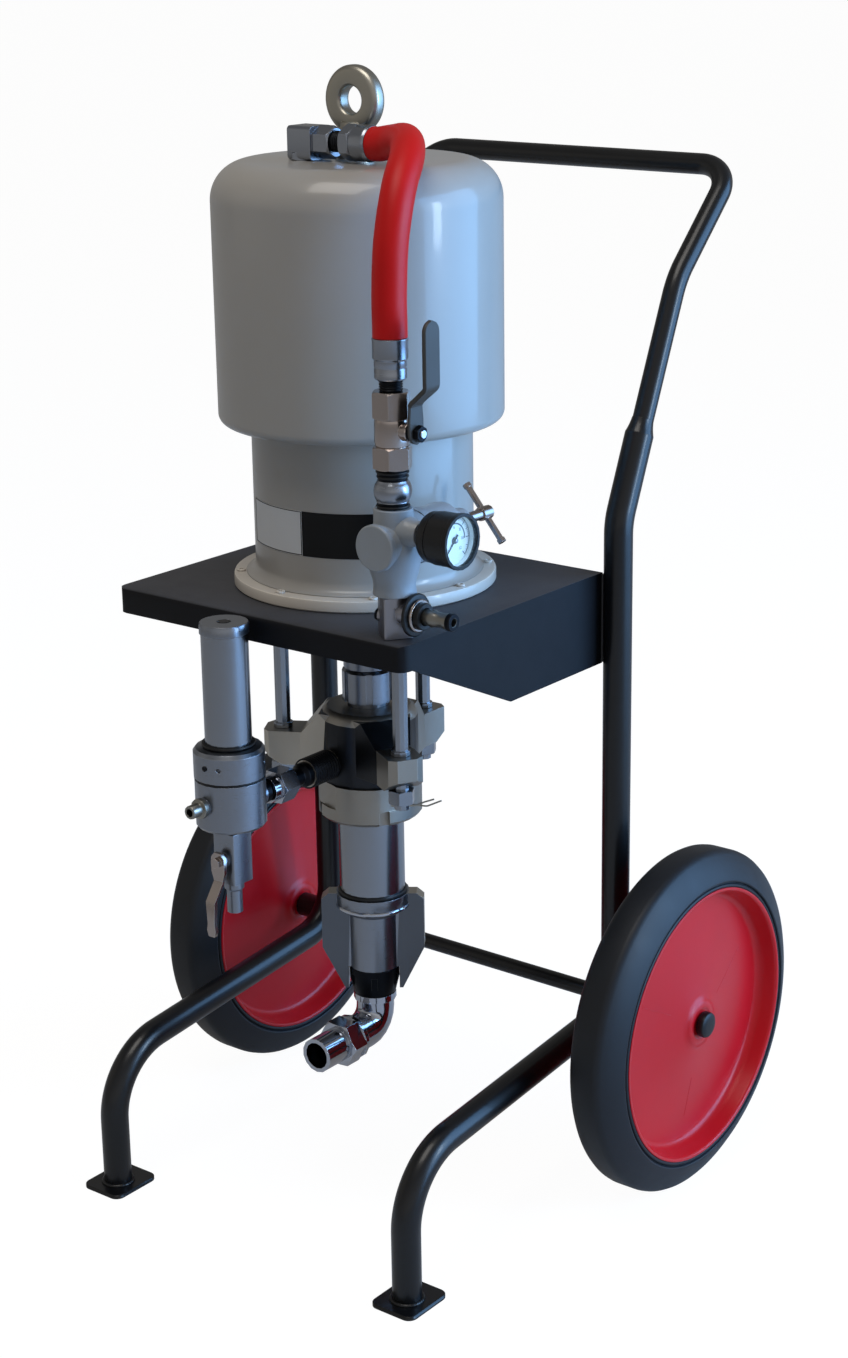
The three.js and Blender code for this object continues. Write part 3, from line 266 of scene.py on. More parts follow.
BLACK = paint("black_gloss", 0x08090C, 0.3, 0.02, coat=0.12, dirt=0.2, wear=0.002, peel_scale=260.0, gloss=0.36)
MOTOR = paint("motor_grey", 0xA7A49F, 0.3, 0.02, coat=0.42, dirt=0.03, gloss=0.3)
BASE = paint("base_ivory", 0xCBC4BA, 0.36, coat=0.3, dirt=0.06, wear=0.04)
CAST = paint("cast_grey", 0x959BA1, 0.4, 0.3, coat=0.15, peel_scale=420.0)
TRAY_TOP = tray_finish()
STEEL = metal("stainless", 0x868B94, 0.28, 0.035, tint=0.08)
STEEL_SMOOTH = metal("stainless_drawn", 0x8C9199, 0.22, 0.02, tint=0.06)
# Painted shade: a darker copy of the stainless for the intake wings' broad faces.
STEEL_PAINTED_SHADE = metal("stainless_painted_shade", 0x62666D, 0.34, 0.03, tint=0.1)
# Painted shade: a near-black copy of the stainless for the outlet housing's hub and inner webs.
STEEL_PAINTED_SHADOW = metal("stainless_painted_shadow", 0x34363A, 0.36, 0.04, tint=0.2)
# Painted highlight: a lighter beige copy of the steel for the intake wings' edges and the outlet housing's left arm.
STEEL_PAINTED_LIGHT = metal("steel_painted_highlight", 0xB3ADA2, 0.38, 0.04, tint=0.08)
STEEL_CAST = metal("stainless_cast", 0x96928B, 0.4, 0.12, tint=0.14, cast=True)
STEEL_DARK = metal("dark_steel", 0x1B1D21, 0.38, edge=0.6)
BLOCK = metal("block_steel", 0x94949B, 0.34, 0.06, tint=0.08)
NICKEL = metal("nickel", 0xA79D98, 0.2, 0.03, tint=0.08)
FERRULE = metal("zinc_blue", 0x8F949D, 0.26, 0.03, tint=0.08)
ZINC = metal("zinc", 0x8D8B84, 0.34, 0.06)
FORGED = metal("forged_eye", 0xA39F94, 0.36, 0.1, tint=0.12, cast=True)
CHROME = metal("chrome", 0xADB1BA, 0.1, 0.02, tint=0.05)
TYRE = plastic("tyre_rubber", 0x13161B, 0.48, gloss=0.36)
RED = plastic("disc_red", 0xCE141E, 0.3, 0.04, 0.05, 0.34)
HOSE = plastic("hose_red", 0xCC0B0B, 0.46, tint=0.05, gloss=0.28)
PLASTIC = plastic("black_plastic", 0x090A0C, 0.4, gloss=0.35)
SLEEVE = plastic("lever_sleeve", 0x3A3733, 0.55, 0.12)
WHITE = plastic("label_white", 0xD4D6D8, 0.4, 0.02, 0.03)
INK = plastic("label_black", 0x060709, 0.45, 0.02, gloss=0.2)
DIAL = plastic("dial_white", 0xF6FFFA, 0.5, 0.0, 0.01)
DIAL_GREY = plastic("dial_grey", 0x59636A, 0.5, 0.0, gloss=0.2)
GLASS = glass_finish()


# ---- floor, world and lights ----

def add_stage():
    """Pale floor: near white where it is seen, dimmer in reflections, and it takes the object's shadow."""
    mesh = bpy.data.meshes.new("floor")
    work = bmesh.new()
    bmesh.ops.create_circle(work, cap_ends=True, radius=40.0, segments=96)
    work.to_mesh(mesh)
    work.free()
    floor = bpy.data.objects.new("floor", mesh)
    bpy.context.scene.collection.objects.link(floor)

    n = Nodes(bpy.data.materials.new("pale_floor"), empty=True)
    path = n.node("LightPath").outputs
    plain = n.math("MULTIPLY", n.seen(path), 0.82)
    share = n.math("ADD", plain, n.math("MULTIPLY", path["Is Glossy Ray"], 0.16), True)
    n.surface("OutputMaterial", share, n.node("BsdfDiffuse", Color=(0.55, 0.55, 0.55)),
              n.node("Emission", Color=(1.0, 1.0, 1.0), Strength=1.17))
    mesh.materials.append(n.owner)


def add_world():
    """White backdrop; reflections see it brighter on the side of the windows than behind the object."""
    world = bpy.data.worlds.new("studio")
    bpy.context.scene.world = world
    n = Nodes(world, empty=True)
    path = n.node("LightPath").outputs
    away = n.coords["Generated"]
    level = n.span(n.dot(away, (0.0, 0.0, 1.0)), 1.0, 0.35, 0.05, 0.7)
    room = n.span(n.dot(away, (0.95, -0.3, 0.0)), 0.08, 0.62, -0.6, 0.8)
    mirrored = n.math("MULTIPLY", path["Is Glossy Ray"], n.math("MULTIPLY", level, room))
    n.surface("OutputWorld", n.math("ADD", n.seen(path), mirrored, True),
              n.node("Background", Color=(1.0, 0.97, 0.93), Strength=0.19),
              n.node("Background", Color=(1.0, 1.0, 1.0), Strength=1.0))


def add_light(name, place, aim_z, size, power, color):
    """Rectangular lamp that looks at a height on the row frame's vertical axis."""
    data = bpy.data.lights.new(name, "AREA")
    data.shape = "RECTANGLE"
    data.size, data.size_y = size
    data.energy = power
    data.color = color
    lamp = bpy.data.objects.new(name, data)
    bpy.context.scene.collection.objects.link(lamp)
    lamp.location = place
    lamp.rotation_mode = "QUATERNION"
    lamp.rotation_quaternion = (Vector((0.0, 0.0, aim_z)) - Vector(place)).to_track_quat("-Z", "Y")


add_stage()
add_world()
add_light("window", (2.5, 1.3, 1.25), 0.7, (3.0, 2.6), 142.0, (0.22, 0.52, 1.0))
add_light("near_window", (2.26, 0.44, 1.15), 0.8, (0.3, 0.9), 13.0, (0.7, 0.86, 1.0))
add_light("overhead", (0.2, -0.9, 3.2), 0.6, (1.4, 1.4), 27.0, (1.0, 0.96, 0.91))
add_light("fill", (-2.4, -1.8, 1.5), 0.5, (1.8, 2.0), 1.8, (1.0, 0.92, 0.8))


# ---- profiles and lines, in millimetres ----

def arc(cx, cy, radius, start, end, steps, radius_y=None):
    """Points of a circle or an ellipse between two angles in degrees."""
    angles = [start + (end - start) * i / steps for i in range(steps + 1)]
    return [(cx + radius * cosd(a), cy + (radius_y or radius) * sind(a)) for a in angles]


def ball(radius, steps):
    """Profile of a ball."""
    return [(0, -radius)] + arc(0, 0, radius, -80, 80, steps) + [(0, radius)]


def sleeve(inner, outer, low, high):
    """Profile of a straight ring, or of a rod where the inner radius is 0."""
    return [(inner, low), (outer, low), (outer, high), (inner, high)]


def threads(radius, depth, pitch, low, high):
    """Profile of a threaded stub: V grooves between two heights."""
    points = [(0, low), (radius - depth, low)]
    h = low + pitch * 0.5
    while h + pitch * 0.5 <= high - 0.2:
        points += [(radius, h), (radius - depth, h + pitch * 0.5)]
        h += pitch
    return points + [(radius - depth, high), (0, high)]


def mirrored(half):
    """Closed profile from the half with positive heights."""
    back = [(r, -h) for r, h in reversed(half)]
    return half + (back[:-1] if half[0][1] == 0 else back)


def rounded_box(width, depth, radius, steps):
    return [point for cx, cy, start in ((1, 1, 0), (-1, 1, 90), (-1, -1, 180), (1, -1, 270)) for point in
            arc(cx * (width / 2 - radius), cy * (depth / 2 - radius), radius, start, start + 90, steps)]


def around(count, radius, start):
    """Places spaced evenly about the pump's axis, as x and y."""
    angles = [start + 360 * i / count for i in range(count)]
    return [(PUMP[0] + radius * cosd(a), PUMP[1] + radius * sind(a)) for a in angles]


def bent(corners, degrees):
    """Points along straight runs joined by arcs; each corner is a point and its radius."""
    corners = [(Vector(point), radius) for point, radius in corners]
    points = [corners[0][0]]
    for (before, _), (corner, radius), (after, _) in zip(corners, corners[1:], corners[2:]):
        back = (before - corner).normalized()
        ahead = (after - corner).normalized()
        turn = math.pi - back.angle(ahead)
        reach = radius * math.tan(turn / 2)
        centre = corner + (back + ahead).normalized() * (radius / math.cos(turn / 2))
        axis = back.cross(ahead).normalized()
        arm = corner + back * reach - centre
        steps = max(3, round(math.degrees(turn) / degrees))
        for i in range(steps + 1):
            points.append(centre + Matrix.Rotation(-turn * i / steps, 3, axis) @ arm)
    return points + [corners[-1][0]]


def dense(points, step):
    """The same line with a point about every step."""
    line = []
    for a, b in zip(points, points[1:]):
        count = max(1, round((b - a).length / step))
        line += [a.lerp(b, i / count) for i in range(count)]
    return line + [points[-1]]


# ---- forms: each call gives a function that adds the form to a bmesh ----

def facing(direction, spot, z=0.0):
    """Turns a form's own height axis (+Z) along a direction and moves it to a point in millimetres."""
    angle, axis = {
        "+z": (0.0, "X"), "+x": (math.pi / 2, "Y"), "-x": (-math.pi / 2, "Y"),
        "+y": (-math.pi / 2, "X"), "-y": (math.pi / 2, "X"),
    }[direction]
    return Matrix.Translation(at(*spot, z)) @ Matrix.Rotation(angle, 4, axis)


def corners_at(work, place, points):
    """New vertices at millimetre points of a place's own axes."""
    return [work.verts.new(place @ Vector((u * MM, v * MM, w * MM))) for u, v, w in points]


def loft(work, rings, closed=False, caps=True):
    """Skin through rings of vertices, where a ring of one is a pole; open ends are capped."""
    sides = max(len(ring) for ring in rings)
    for low, high in zip(rings, rings[1:] + rings[:1] if closed else rings[1:]):
        for i in range(sides):
            k = (i + 1) % sides
            corners = (low[i % len(low)], low[k % len(low)], high[k % len(high)], high[i % len(high)])
            corners = list(dict.fromkeys(corners))
            if len(corners) > 2:
                work.faces.new(corners)
    if caps and not closed:
        work.faces.new(list(reversed(rings[0])))
        work.faces.new(rings[-1])


def turned(profile, place, segments, radius_at=None):
    """Solid of revolution: [radius, height] in millimetres, closed on itself or on the axis."""
    angles = [2 * math.pi * i / segments for i in range(segments)]

    def run(work):
        rings = []
        for r, h in profile:
            reach = [(r * (radius_at(a, h) if radius_at else 1.0), a) for a in angles] if r else [(0, 0)]
            rings.append(corners_at(work, place, [(d * math.cos(a), d * math.sin(a), h) for d, a in reach]))
        loft(work, rings, closed=bool(profile[0][0] or profile[-1][0]), caps=False)
    return run


def lathe(profile, spot, segments=64, direction="+z", z=0.0):
    return turned(profile, facing(direction, spot, z), segments)


def hexagon(flats, low, high, spot, direction="+z", z=0.0, turn=0.0, bore=0.0, chamfer=0.3):
    """Nut between two heights; a cone trims its corners at both ends, and it may have a bore."""
    place = facing(direction, spot, z)
    inset = flats / 2 + (flats / 2 / cosd(30) - flats / 2) * 0.12
    angles = [2 * math.pi * i / 72 for i in range(72)]

    def run(work):
        rings = [[], [], [], []]
        for angle in angles:
            flat = flats / 2 / math.cos((angle - turn) % (math.pi / 3) - math.pi / 6)
            trim = max(0.0, flat - inset) * 0.6 + chamfer
            edge = min(flat, inset) - chamfer
            for ring, r, h in zip(rings, (edge, flat, flat, edge), (low, low + trim, high - trim, high)):
                ring.append((r * math.cos(angle), r * math.sin(angle), h))
        if bore:
            inside = [[(bore * math.cos(a), bore * math.sin(a), h) for a in angles] for h in (low, high)]
            rings = inside[:1] + rings + inside[1:]
        loft(work, [corners_at(work, place, ring) for ring in rings], closed=bool(bore))
    return run


def prism(outline, low, high, place):
    """Outline of [u, v] points between two heights, all in millimetres."""
    return lambda work: loft(work, [
        corners_at(work, place, [(u, v, h) for u, v in outline]) for h in (low, high)])


def tube(points, radius, sides=32, radius_of=None):
    """Round tube along millimetre points (y from the axle), with mitred rings."""
    def run(work):
        steps = [(b - a).normalized() for a, b in zip(points, points[1:])]
        tangents = [(a + b).normalized() for a, b in zip(steps[:1] + steps, steps + steps[-1:])]
        normal = tangents[0].orthogonal().normalized()
        rings = []
        for i, (point, tangent) in enumerate(zip(points, tangents)):
            normal = (normal - tangent * normal.dot(tangent)).normalized()
            side = tangent.cross(normal)
            r = radius_of(i) if radius_of else radius
            angles = [2 * math.pi * k / sides for k in range(sides)]
            rings.append([work.verts.new(at(*(point + (normal * math.cos(a) + side * math.sin(a)) * r)))
                          for a in angles])
        loft(work, rings)
    return run


def several(*edits):
    def run(work):
        for edit in edits:
            edit(work)
    return run


# ---- pieces ----

def solid(name, edit, smooth=0.0):
    """Object from a form: merged corners, outward faces and soft edges below the angle."""
    mesh = bpy.data.meshes.new(name)
    work = bmesh.new()
    edit(work)
    bmesh.ops.remove_doubles(work, verts=work.verts, dist=1e-6)
    bmesh.ops.recalc_face_normals(work, faces=work.faces)
    for edge in work.edges:
        edge.smooth = edge.calc_face_angle(0.0) < math.radians(smooth)
    for face in work.faces:
        face.smooth = True
    work.to_mesh(mesh)
    work.free()
    body = bpy.data.objects.new(name, mesh)
    bpy.context.scene.collection.objects.link(body)
    return body


def joined(*edits, operation="UNION"):
    """Form of the first solid with the others joined to it, or with another operation."""
    def run(work):
        first, *others = [solid("rough", edit) for edit in edits]
        for other in others:
            step = first.modifiers.new("step", "BOOLEAN")
            step.operation = operation
            step.solver = "EXACT"
            step.object = other
        bpy.context.view_layer.update()
        done = bpy.data.meshes.new_from_object(first.evaluated_get(bpy.context.evaluated_depsgraph_get()))
        work.from_mesh(done)
        bpy.data.meshes.remove(done)
        for body in (first, *others):
            data = body.data
            bpy.data.objects.remove(body)
            bpy.data.meshes.remove(data)
    return run


def cut(edit, *holes):
    return joined(edit, *holes, operation="DIFFERENCE")


def make(name, edit, finish, body="frame", replaces=None, smooth=35.0):
    """Finished piece from a form, riding on a body."""
    finishes = finish if isinstance(finish, list) else [finish]
    piece = solid(name, edit, smooth)
    for one in finishes:
        piece.data.materials.append(one)
    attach(piece, body)
    if replaces:
        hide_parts(replaces)
    return piece


# ---- cord ----

HOSE_ROUTE = [
    (57, -200, 1040), (75, -203, 1043), (101, -218, 1046), (125, -246, 1037), (140, -277, 1013),
    (145, -294.5, 972), (145, -298.5, 928), (145, -298.5, 900),
]
HOSE_END = 891.0


def between(a, b, start, end, now):
    return a * ((end - now) / (end - start)) + b * ((now - start) / (end - start))


def spline_points(points, per_span=8):
    """Centripetal Catmull-Rom through the points."""
    pts = [Vector(p) for p in points]
    pts = [pts[0] * 2 - pts[1]] + pts + [pts[-1] * 2 - pts[-2]]
    line = []
    for a, b, c, d in zip(pts, pts[1:], pts[2:], pts[3:]):
        t0 = 0.0
        t1 = t0 + (b - a).length ** 0.5
        t2 = t1 + (c - b).length ** 0.5
        t3 = t2 + (d - c).length ** 0.5
        for i in range(per_span):
            t = t1 + (t2 - t1) * i / per_span
            middle = between(b, c, t1, t2, t)
            first = between(between(a, b, t0, t1, t), middle, t0, t2, t)
            second = between(middle, between(c, d, t2, t3, t), t1, t3, t)
            line.append(between(first, second, t1, t2, t))
    return line + [pts[-2]]


def add_hose():
    """Fabric-reinforced red air hose from the motor's top down to the ball valve."""
    line = [Vector((51.1, -200, 1040))] + spline_points(HOSE_ROUTE) + [Vector((*LINE, HOSE_END))]
    hose = make("red_hose", tube(line, 15.2, 40), HOSE, replaces="air_hose")


add_hose()


# ---- air motor ----

def add_motor():
    wall, low, curl = 3.0, 782.0, 9.0  # the shroud's sheet, its lower edge and the radius of its inward curl
    shroud = [(105, low), (122, low + 0.1)] + arc(134 - curl, low + curl, curl, -80, 0, 10)
    shroud += arc(98, 986, 36, 0, 90, 18) + [(60, 1022.3), (10.3, 1022.5), (10.3, 1022.5 - wall)]
    shroud += [(98, 1022 - wall), (134 - wall, 986), (134 - wall, low + curl), (105, low + wall + 1)]
    make("shroud", lathe(shroud, PUMP, 160), MOTOR, replaces="motor_shroud")
    foot = [(98, 638.3), (113, 638.3)] + arc(113, 648.6, 9, 98, 179, 9, -10)
    make("cylinder", lathe(foot + [(104, 650), (104, 790), (98, 790)], PUMP, 160), MOTOR)
    # Top of the cylinder under the hood, and the closed head.
    make("cylinder_head", lathe([(0, 962), (103.5, 962), (103.5, 974), (102, 976), (0, 976)], PUMP), MOTOR,
         replaces="motor_cylinder")

    bolts = around(8, 118, -137)
    wells = [lathe(sleeve(0, 4.6, 634.6, 640), spot, 24) for spot in bolts]
    wells += [lathe(sleeve(0, 8.3, 620, 635.5), spot, 32) for spot in around(3, 85, 90)]
    flange = lathe([
        (11.3, 664), (28, 664), (28, 626.3), (123.6, 626.3), (125, 627.7), (125, 635.5), (124.2, 637.2),
        (122.4, 638), (36, 638), (36, 680), (11.3, 680),
    ], PUMP, 160)
    make("motor_flange", cut(flange, *wells), BASE, replaces="motor_base")
    screw = [(0, 634.7), (4.2, 634.7), (4.2, 639.2), (3.6, 640), (2.2, 640), (2.0, 637.6), (0, 637.6)]
    make("flange_screws", several(*[lathe(screw, spot, 24) for spot in bolts]), BASE)


def add_label():
    """Bare two-tone band, left part white and right part black, with a thin raised border."""
    def band(start, end, low, high, radius):
        steps = max(4, round(abs(end - start) / 1.5))

        def run(work):
            rings = []
            for i in range(steps + 1):
                angle = start + (end - start) * i / steps
                rings.append([
                    work.verts.new(at(PUMP[0] + r * cosd(angle), PUMP[1] + r * sind(angle), h))
                    for r, h in ((radius, low), (radius, high), (104.02, high), (104.02, low))])
            loft(work, rings)
        return run

    make("band_white", band(-126, -83.5, 672, 714, 104.3), WHITE, smooth=60)
    make("band_black", band(-83.4, -38, 672, 714, 104.3), INK, smooth=60)
    make("band_border", several(*[band(*strip, 104.5) for strip in (
        (-125.6, -84, 713.0, 713.6), (-125.6, -84, 672.6, 673.2), (-125.6, -125.2, 672.6, 713.6),
        (-84.2, -83.8, 672.6, 713.6),
    )]), INK, smooth=60)


def add_eye():
    half = arc(15.7, -3.5, 3.5, -180, -90, 6, 4.5) + arc(25, -2, 6, -90, 0, 9)
    neck = lathe([
        (0, 1015), (10, 1015), (10, 1022.3), (19, 1022.3), (19, 1028.2), (18, 1029.6), (13.7, 1031),
        (13.7, 1052.5), (13.0, 1054.2), (11.5, 1055), (0, 1055),
    ], PUMP, 48)
    make("eye", joined(lathe(mirrored(half), PUMP, 72, "+y", 1074), neck), FORGED, replaces="lifting_eye", smooth=30)


def add_top_fittings():
    """Elbow on the motor's top and the hose's swivel nut beside it."""
    elbow, swivel, z = (-29.0, -200.0), (0, -200.0), 1040.0
    block = prism(rounded_box(30, 30, 4.0, 5), -9, 18, facing("+x", elbow, 1038))
    snout = hexagon(26, 16, 36.6, elbow, "+x", 1039, chamfer=0.8)
    make("elbow_body", joined(block, snout), FERRULE, replaces="top_elbow", smooth=25)
    make("elbow_hex", hexagon(29, 1022.3, 1030, elbow, turn=0.4), FERRULE, smooth=30)
    make("elbow_leg", lathe(sleeve(0, 11, 1006, 1028), elbow, 40), ZINC)
    make("elbow_thread", lathe(threads(9.5, 0.9, 2.0, 36, 50), elbow, 48, "+x", z), STEEL_DARK)
    make("swivel_hex", hexagon(28.8, 20, 32.5, swivel, "+x", z, chamfer=0.8), FERRULE, smooth=30)
    make("swivel_groove", lathe(sleeve(12, 14.3, 32.3, 33.7), swivel, 48, "+x", z), STEEL_DARK)
    make("swivel_ferrule", lathe([
        (0, 31), (13.6, 31), (13.6, 33), (15.6, 33.4), (16.2, 34.2), (16.2, 46), (16.5, 46.6), (16.5, 48),
        (15.9, 49.5), (15.2, 50.5), (0, 50.5),
    ], swivel, 64, "+x", z), FERRULE, replaces="hose_swivel")


add_motor()
add_label()
add_eye()
add_top_fittings()


# ---- ball valve ----

VALVE = 811.0


def add_hose_tail():
    make("tail_ferrule", lathe([
        (0, -36), (13.2, -36), (14.3, -34.5), (14.3, -27), (13.9, -26.4), (13.9, -25.2), (14.3, -24.6),
        (14.3, -19.4), (15.6, -17.6), (15.6, -3), (15.9, -2), (15.9, -0.7), (15.3, -0.3), (0, -0.3),
    ], LINE, z=HOSE_END), FERRULE, replaces="hose_tail")
    make("tail_nipple", lathe(threads(10.6, 0.9, 2.2, VALVE + 34.3, HOSE_END - 36), LINE, 48), STEEL_DARK)


def add_valve():
    make("valve_upper_hex", hexagon(30.5, 10, 34, LINE, z=VALVE, bore=8.6), NICKEL, smooth=30)
    make("valve_lower_hex", hexagon(31.5, -34, -14, LINE, z=VALVE, bore=8.6), NICKEL, smooth=30)
    waist = lathe([
        (8.7, -19), (14, -19), (14.4, -13.5), (15.3, -10), (15.3, 7), (14.6, 12), (13.8, 14), (8.7, 14),
    ], LINE, z=VALVE)
    boss = lathe([(0, 8), (8.2, 8), (8.2, 20), (7.4, 20.8), (0, 20.8)], LINE, 40, "+x", VALVE)
    hollow = lathe(sleeve(0, 8.7, -34, 34), LINE, 40, z=VALVE)
    globe = lathe(ball(12.9, 16), LINE, 40, z=VALVE)
    stem = lathe(sleeve(0, 4.6, 0, 24), LINE, 32, "+x", VALVE)
    make("valve_waist", cut(joined(waist, boss), hollow, globe, stem), NICKEL, replaces="air_valve_body", smooth=40)


def add_valve_lever():
    """Ball and stem of the valve, the bent flat lever in its dipped sleeve, and the stem's nuts."""
    globe = lathe(ball(11, 20), LINE, 48, z=VALVE)
    stem = lathe([(0, 6), (4, 6), (4, 33.6), (3.4, 35.6), (0, 35.6)], LINE, 32, "+x", VALVE)
    bore = lathe(sleeve(0, 7.6, -20, 20), LINE, 40, z=VALVE)
    make("valve_ball", cut(joined(globe, stem), bore), CHROME, "air_valve", "air_valve_ball", 40)
    make("stem_nut", hexagon(13, 28.6, 34, LINE, "+x", VALVE, bore=4.0), STEEL_DARK, "air_valve", smooth=30)
    make("gland_nut", hexagon(15, 20.8, 24.2, LINE, "+x", VALVE, bore=4.6), STEEL_DARK, smooth=30)

    route = dense(bent([
        ((26.3, 0, -10), 0), ((26.3, 0, 25.5), 6.0), ((44.0, 0, 40.5), 6.0), ((44.0, 0, 98.5), 0)], 6.0), 2.5)
    widths = [(-10, 0.1), (-9.3, 3.6), (-7.5, 6.6), (-4, 9.0), (0, 10.0), (12, 10.0), (20, 9.2), (30, 8.6),
              (38, 9.6), (44, 10.4), (86, 10.4)]

    def half_width(h):
        if h >= 88.1:
            return math.sqrt(max(0.0, 10.4 ** 2 - (h - 88.1) ** 2)) or 0.1
        for (h0, w0), (h1, w1) in zip(widths, widths[1:]):
            if h0 <= h <= h1:
                return w0 + (w1 - w0) * (h - h0) / (h1 - h0)
        return 10.4

    def lever(work):
        rings = []
        for i, point in enumerate(route):
            ahead = route[min(i + 1, len(route) - 1)] - route[max(i - 1, 0)]
            across = Vector((ahead.z, 0, -ahead.x)).normalized()
            w = half_width(point.z)
            flat = w - min(1.1, w * 0.4)
            thick = 1.6 if point.z < 24 else 2.1
            side = thick * 0.35
            rings.append([
                work.verts.new(at(LINE[0] + point.x + across.x * v, LINE[1] + u, VALVE + point.z + across.z * v))
                for u, v in ((-w, -side), (-flat, -thick), (flat, -thick), (w, -side),
                             (w, side), (flat, thick), (-flat, thick), (-w, side))])
        loft(work, rings)
    make("lever_flat", lever, SLEEVE, "air_valve", "air_valve_lever", 40)


def add_union():
    """Nipple, rounded union nut and its black seal rings."""
    low = 742.6
    make("union_nipple", lathe(sleeve(0, 13, 0, 34.1), LINE, 48, z=low), STEEL_DARK)
    shell = [(0, 5.6), (14.6, 5.6)] + arc(11.3, 14.8, 5.6, -62, 58, 15, 9.6) + [(13.6, 24.6), (0, 24.6)]

    def soft_hex(angle, h):
        return 1.0 + math.cos(6 * angle) * 0.018 if 6 < h < 24 else 1.0
    make("union_nut", turned(shell, facing("+z", LINE, low), 96, soft_hex), FERRULE, replaces="air_union",
         smooth=50)
    make("union_seals", several(*[
        lathe([(12, h), (r, h + 0.6), (r + 0.5, h + 1.6), (r, h + 2.6), (12, h + 3.2)], LINE, z=low)
        for h, r in ((0.2, 14.6), (26.2, 13.9), (30.3, 14.3))]), PLASTIC)


add_hose_tail()
add_valve()
add_valve_lever()
add_union()


# ---- pieces that keep their node's form, with merged and smoothly shaded surfaces ----

BODY_OF = {
    "piston_rod": "pump_rod", "rod_coupling": "pump_rod", "displacement_rod": "pump_rod",
    "regulator_screw": "regulator_handle", "drain_lever": "drain_handle",
}


def refine(finish, *names, smooth=32.0, pick=None, slot=None):
    """finish may be several materials; pick(centre, normal) in mm from the pump's axis names a face's one."""
    for name in names:
        def copy(work):
            work.from_mesh(nodes[name].data)
            bmesh.ops.remove_doubles(work, verts=work.verts, dist=1e-5)
            for face in work.faces:
                spot = face.calc_center_median() / MM - Vector((PUMP[0], PUMP[1] + Y0, 0))
                face.material_index = pick(spot, face.normal) if pick else 0
        make("fine_" + name, copy, finish, BODY_OF.get(name, "frame"), name, smooth)


def radius(spot):
    return math.hypot(spot.x, spot.y)


def intake_part(spot, normal):
    """Body 0; edges of the hammer wings 1, painted lighter as a painted highlight; their broad faces 2, painted darker
    as painted shade.
    """
    if radius(spot) <= 26 or (spot.z > 283 and radius(spot) < 37):
        return 0
    return 2 if abs(normal.x * sind(36) - normal.y * cosd(36)) > 0.9 else 1


def housing_part(spot, normal):
    """Top and ears 0; flanks of the left arm 1, painted lighter as a painted highlight; hub and inner webs 2, painted
    near black as painted shade.
    """
    if radius(spot) < 49:
        return 0 if spot.z > 490.5 or normal.z < -0.9 else 2
    angle = math.degrees(math.atan2(spot.y, spot.x)) % 360
    if 150 < angle < 270:
        return 1
    if angle >= 270 and radius(spot) < 72 and abs(normal.z) < 0.9:
        return 2
    return 0


refine(TRAY_TOP, "tray")
refine(CAST, "regulator_bonnet", smooth=30)
refine(STEEL, "rod_coupling", "packing_nut", "filter_head", "filter_ring_nut", "filter_cap", "drain_valve")
refine(STEEL_CAST, "cylinder_ring")
# The intake's wing edges get a painted highlight and their broad faces painted shade; the outlet housing's left arm
# gets a painted highlight, and its hub and inner webs painted shade.
refine([STEEL, STEEL_PAINTED_LIGHT, STEEL_PAINTED_SHADE], "intake_housing", pick=intake_part)
refine([STEEL_CAST, STEEL_PAINTED_LIGHT, STEEL_PAINTED_SHADOW], "outlet_housing", pick=housing_part)
refine(STEEL_SMOOTH, "tie_rod_1", "tie_rod_2", "tie_rod_3", "pump_cylinder", "filter_tube")
refine(STEEL_DARK, "intake_nut", "link_pipe")
refine(NICKEL, "regulator_screw", "drain_lever", smooth=40)
refine(ZINC, "inlet_plug", "outlet_nipple", smooth=40)
refine(CHROME, "piston_rod", "displacement_rod", "intake_elbow", smooth=40)
refine(CHROME, "intake_union", "link_nut", smooth=40, slot="nickel")
refine(PLASTIC, "gauge_case", smooth=40)


# ---- regulator and gauge ----

GAUGE_Z = 722.5
SCREW_Z = 711.0
PLUG_Z = 649.0
BOLT_Z = 643.0
REGULATOR_TOP = 742.3


def add_regulator():
    """Regulator body: turned column, barrel across it with its blank cap, and the gauge boss."""
    column = lathe([
        (0, 664.8), (19.0, 664.8), (19.5, 665.4), (19.0, 669), (18.7, 674), (19.6, 679), (21.4, 684.5), (22.7, 690),
        (23.3, 696), (23.5, 702), (23.3, 707), (22.8, 712), (21.6, 717), (19.6, 722), (18.2, 726), (17.6, 730),
        (17.5, REGULATOR_TOP - 0.6), (16.9, REGULATOR_TOP), (0, REGULATOR_TOP),
    ], LINE, 72)
    barrel = lathe([
        (0, -26), (24, -26), (24, -13), (22.6, -9.5), (20.4, -6.5), (19, -4), (19, 17), (19, 20.6), (20.5, 21.4),
        (20.9, 22.4), (20.9, 26.6), (20.2, 27.6), (19.4, 28), (0, 28),
    ], LINE, 72, "-y", SCREW_Z)
    boss = lathe([(0, 8), (14, 8), (14, 19), (12.6, 22), (11.6, 25), (11.2, 29.5), (10.6, 30.5), (0, 30.5)],
                 LINE, 48, "+x", GAUGE_Z)
    make("regulator_case", joined(column, barrel, boss), CAST, replaces="regulator_body", smooth=26)
    # Rounded back of the gauge's case, and the white wall round its dial.
    make("case_back", lathe([(6.8, 39.4), (16.5, 39.4), (20.6, 40.4), (22.4, 43), (22.6, 49.4), (6.8, 49.4)],
                            LINE, 64, "+x", GAUGE_Z), PLASTIC)
    make("dial_wall", lathe([(21.4, 66.3), (21.85, 66.3), (21.85, 70.8), (21.6, 70.8)], LINE, 64, "+x", GAUGE_Z), DIAL)


def word(text):
    """Outline of a short number as a mesh, centred on the origin in its own plane."""
    curve = bpy.data.curves.new("number", "FONT")
    curve.body = text
    curve.size = 4.0 * MM
    curve.extrude = 0.06 * MM
    curve.resolution_u = 3
    curve.align_x = curve.align_y = "CENTER"
    holder = bpy.data.objects.new("number", curve)
    mesh = bpy.data.meshes.new_from_object(holder)
    bpy.data.objects.remove(holder)
    bpy.data.curves.remove(curve)
    return mesh


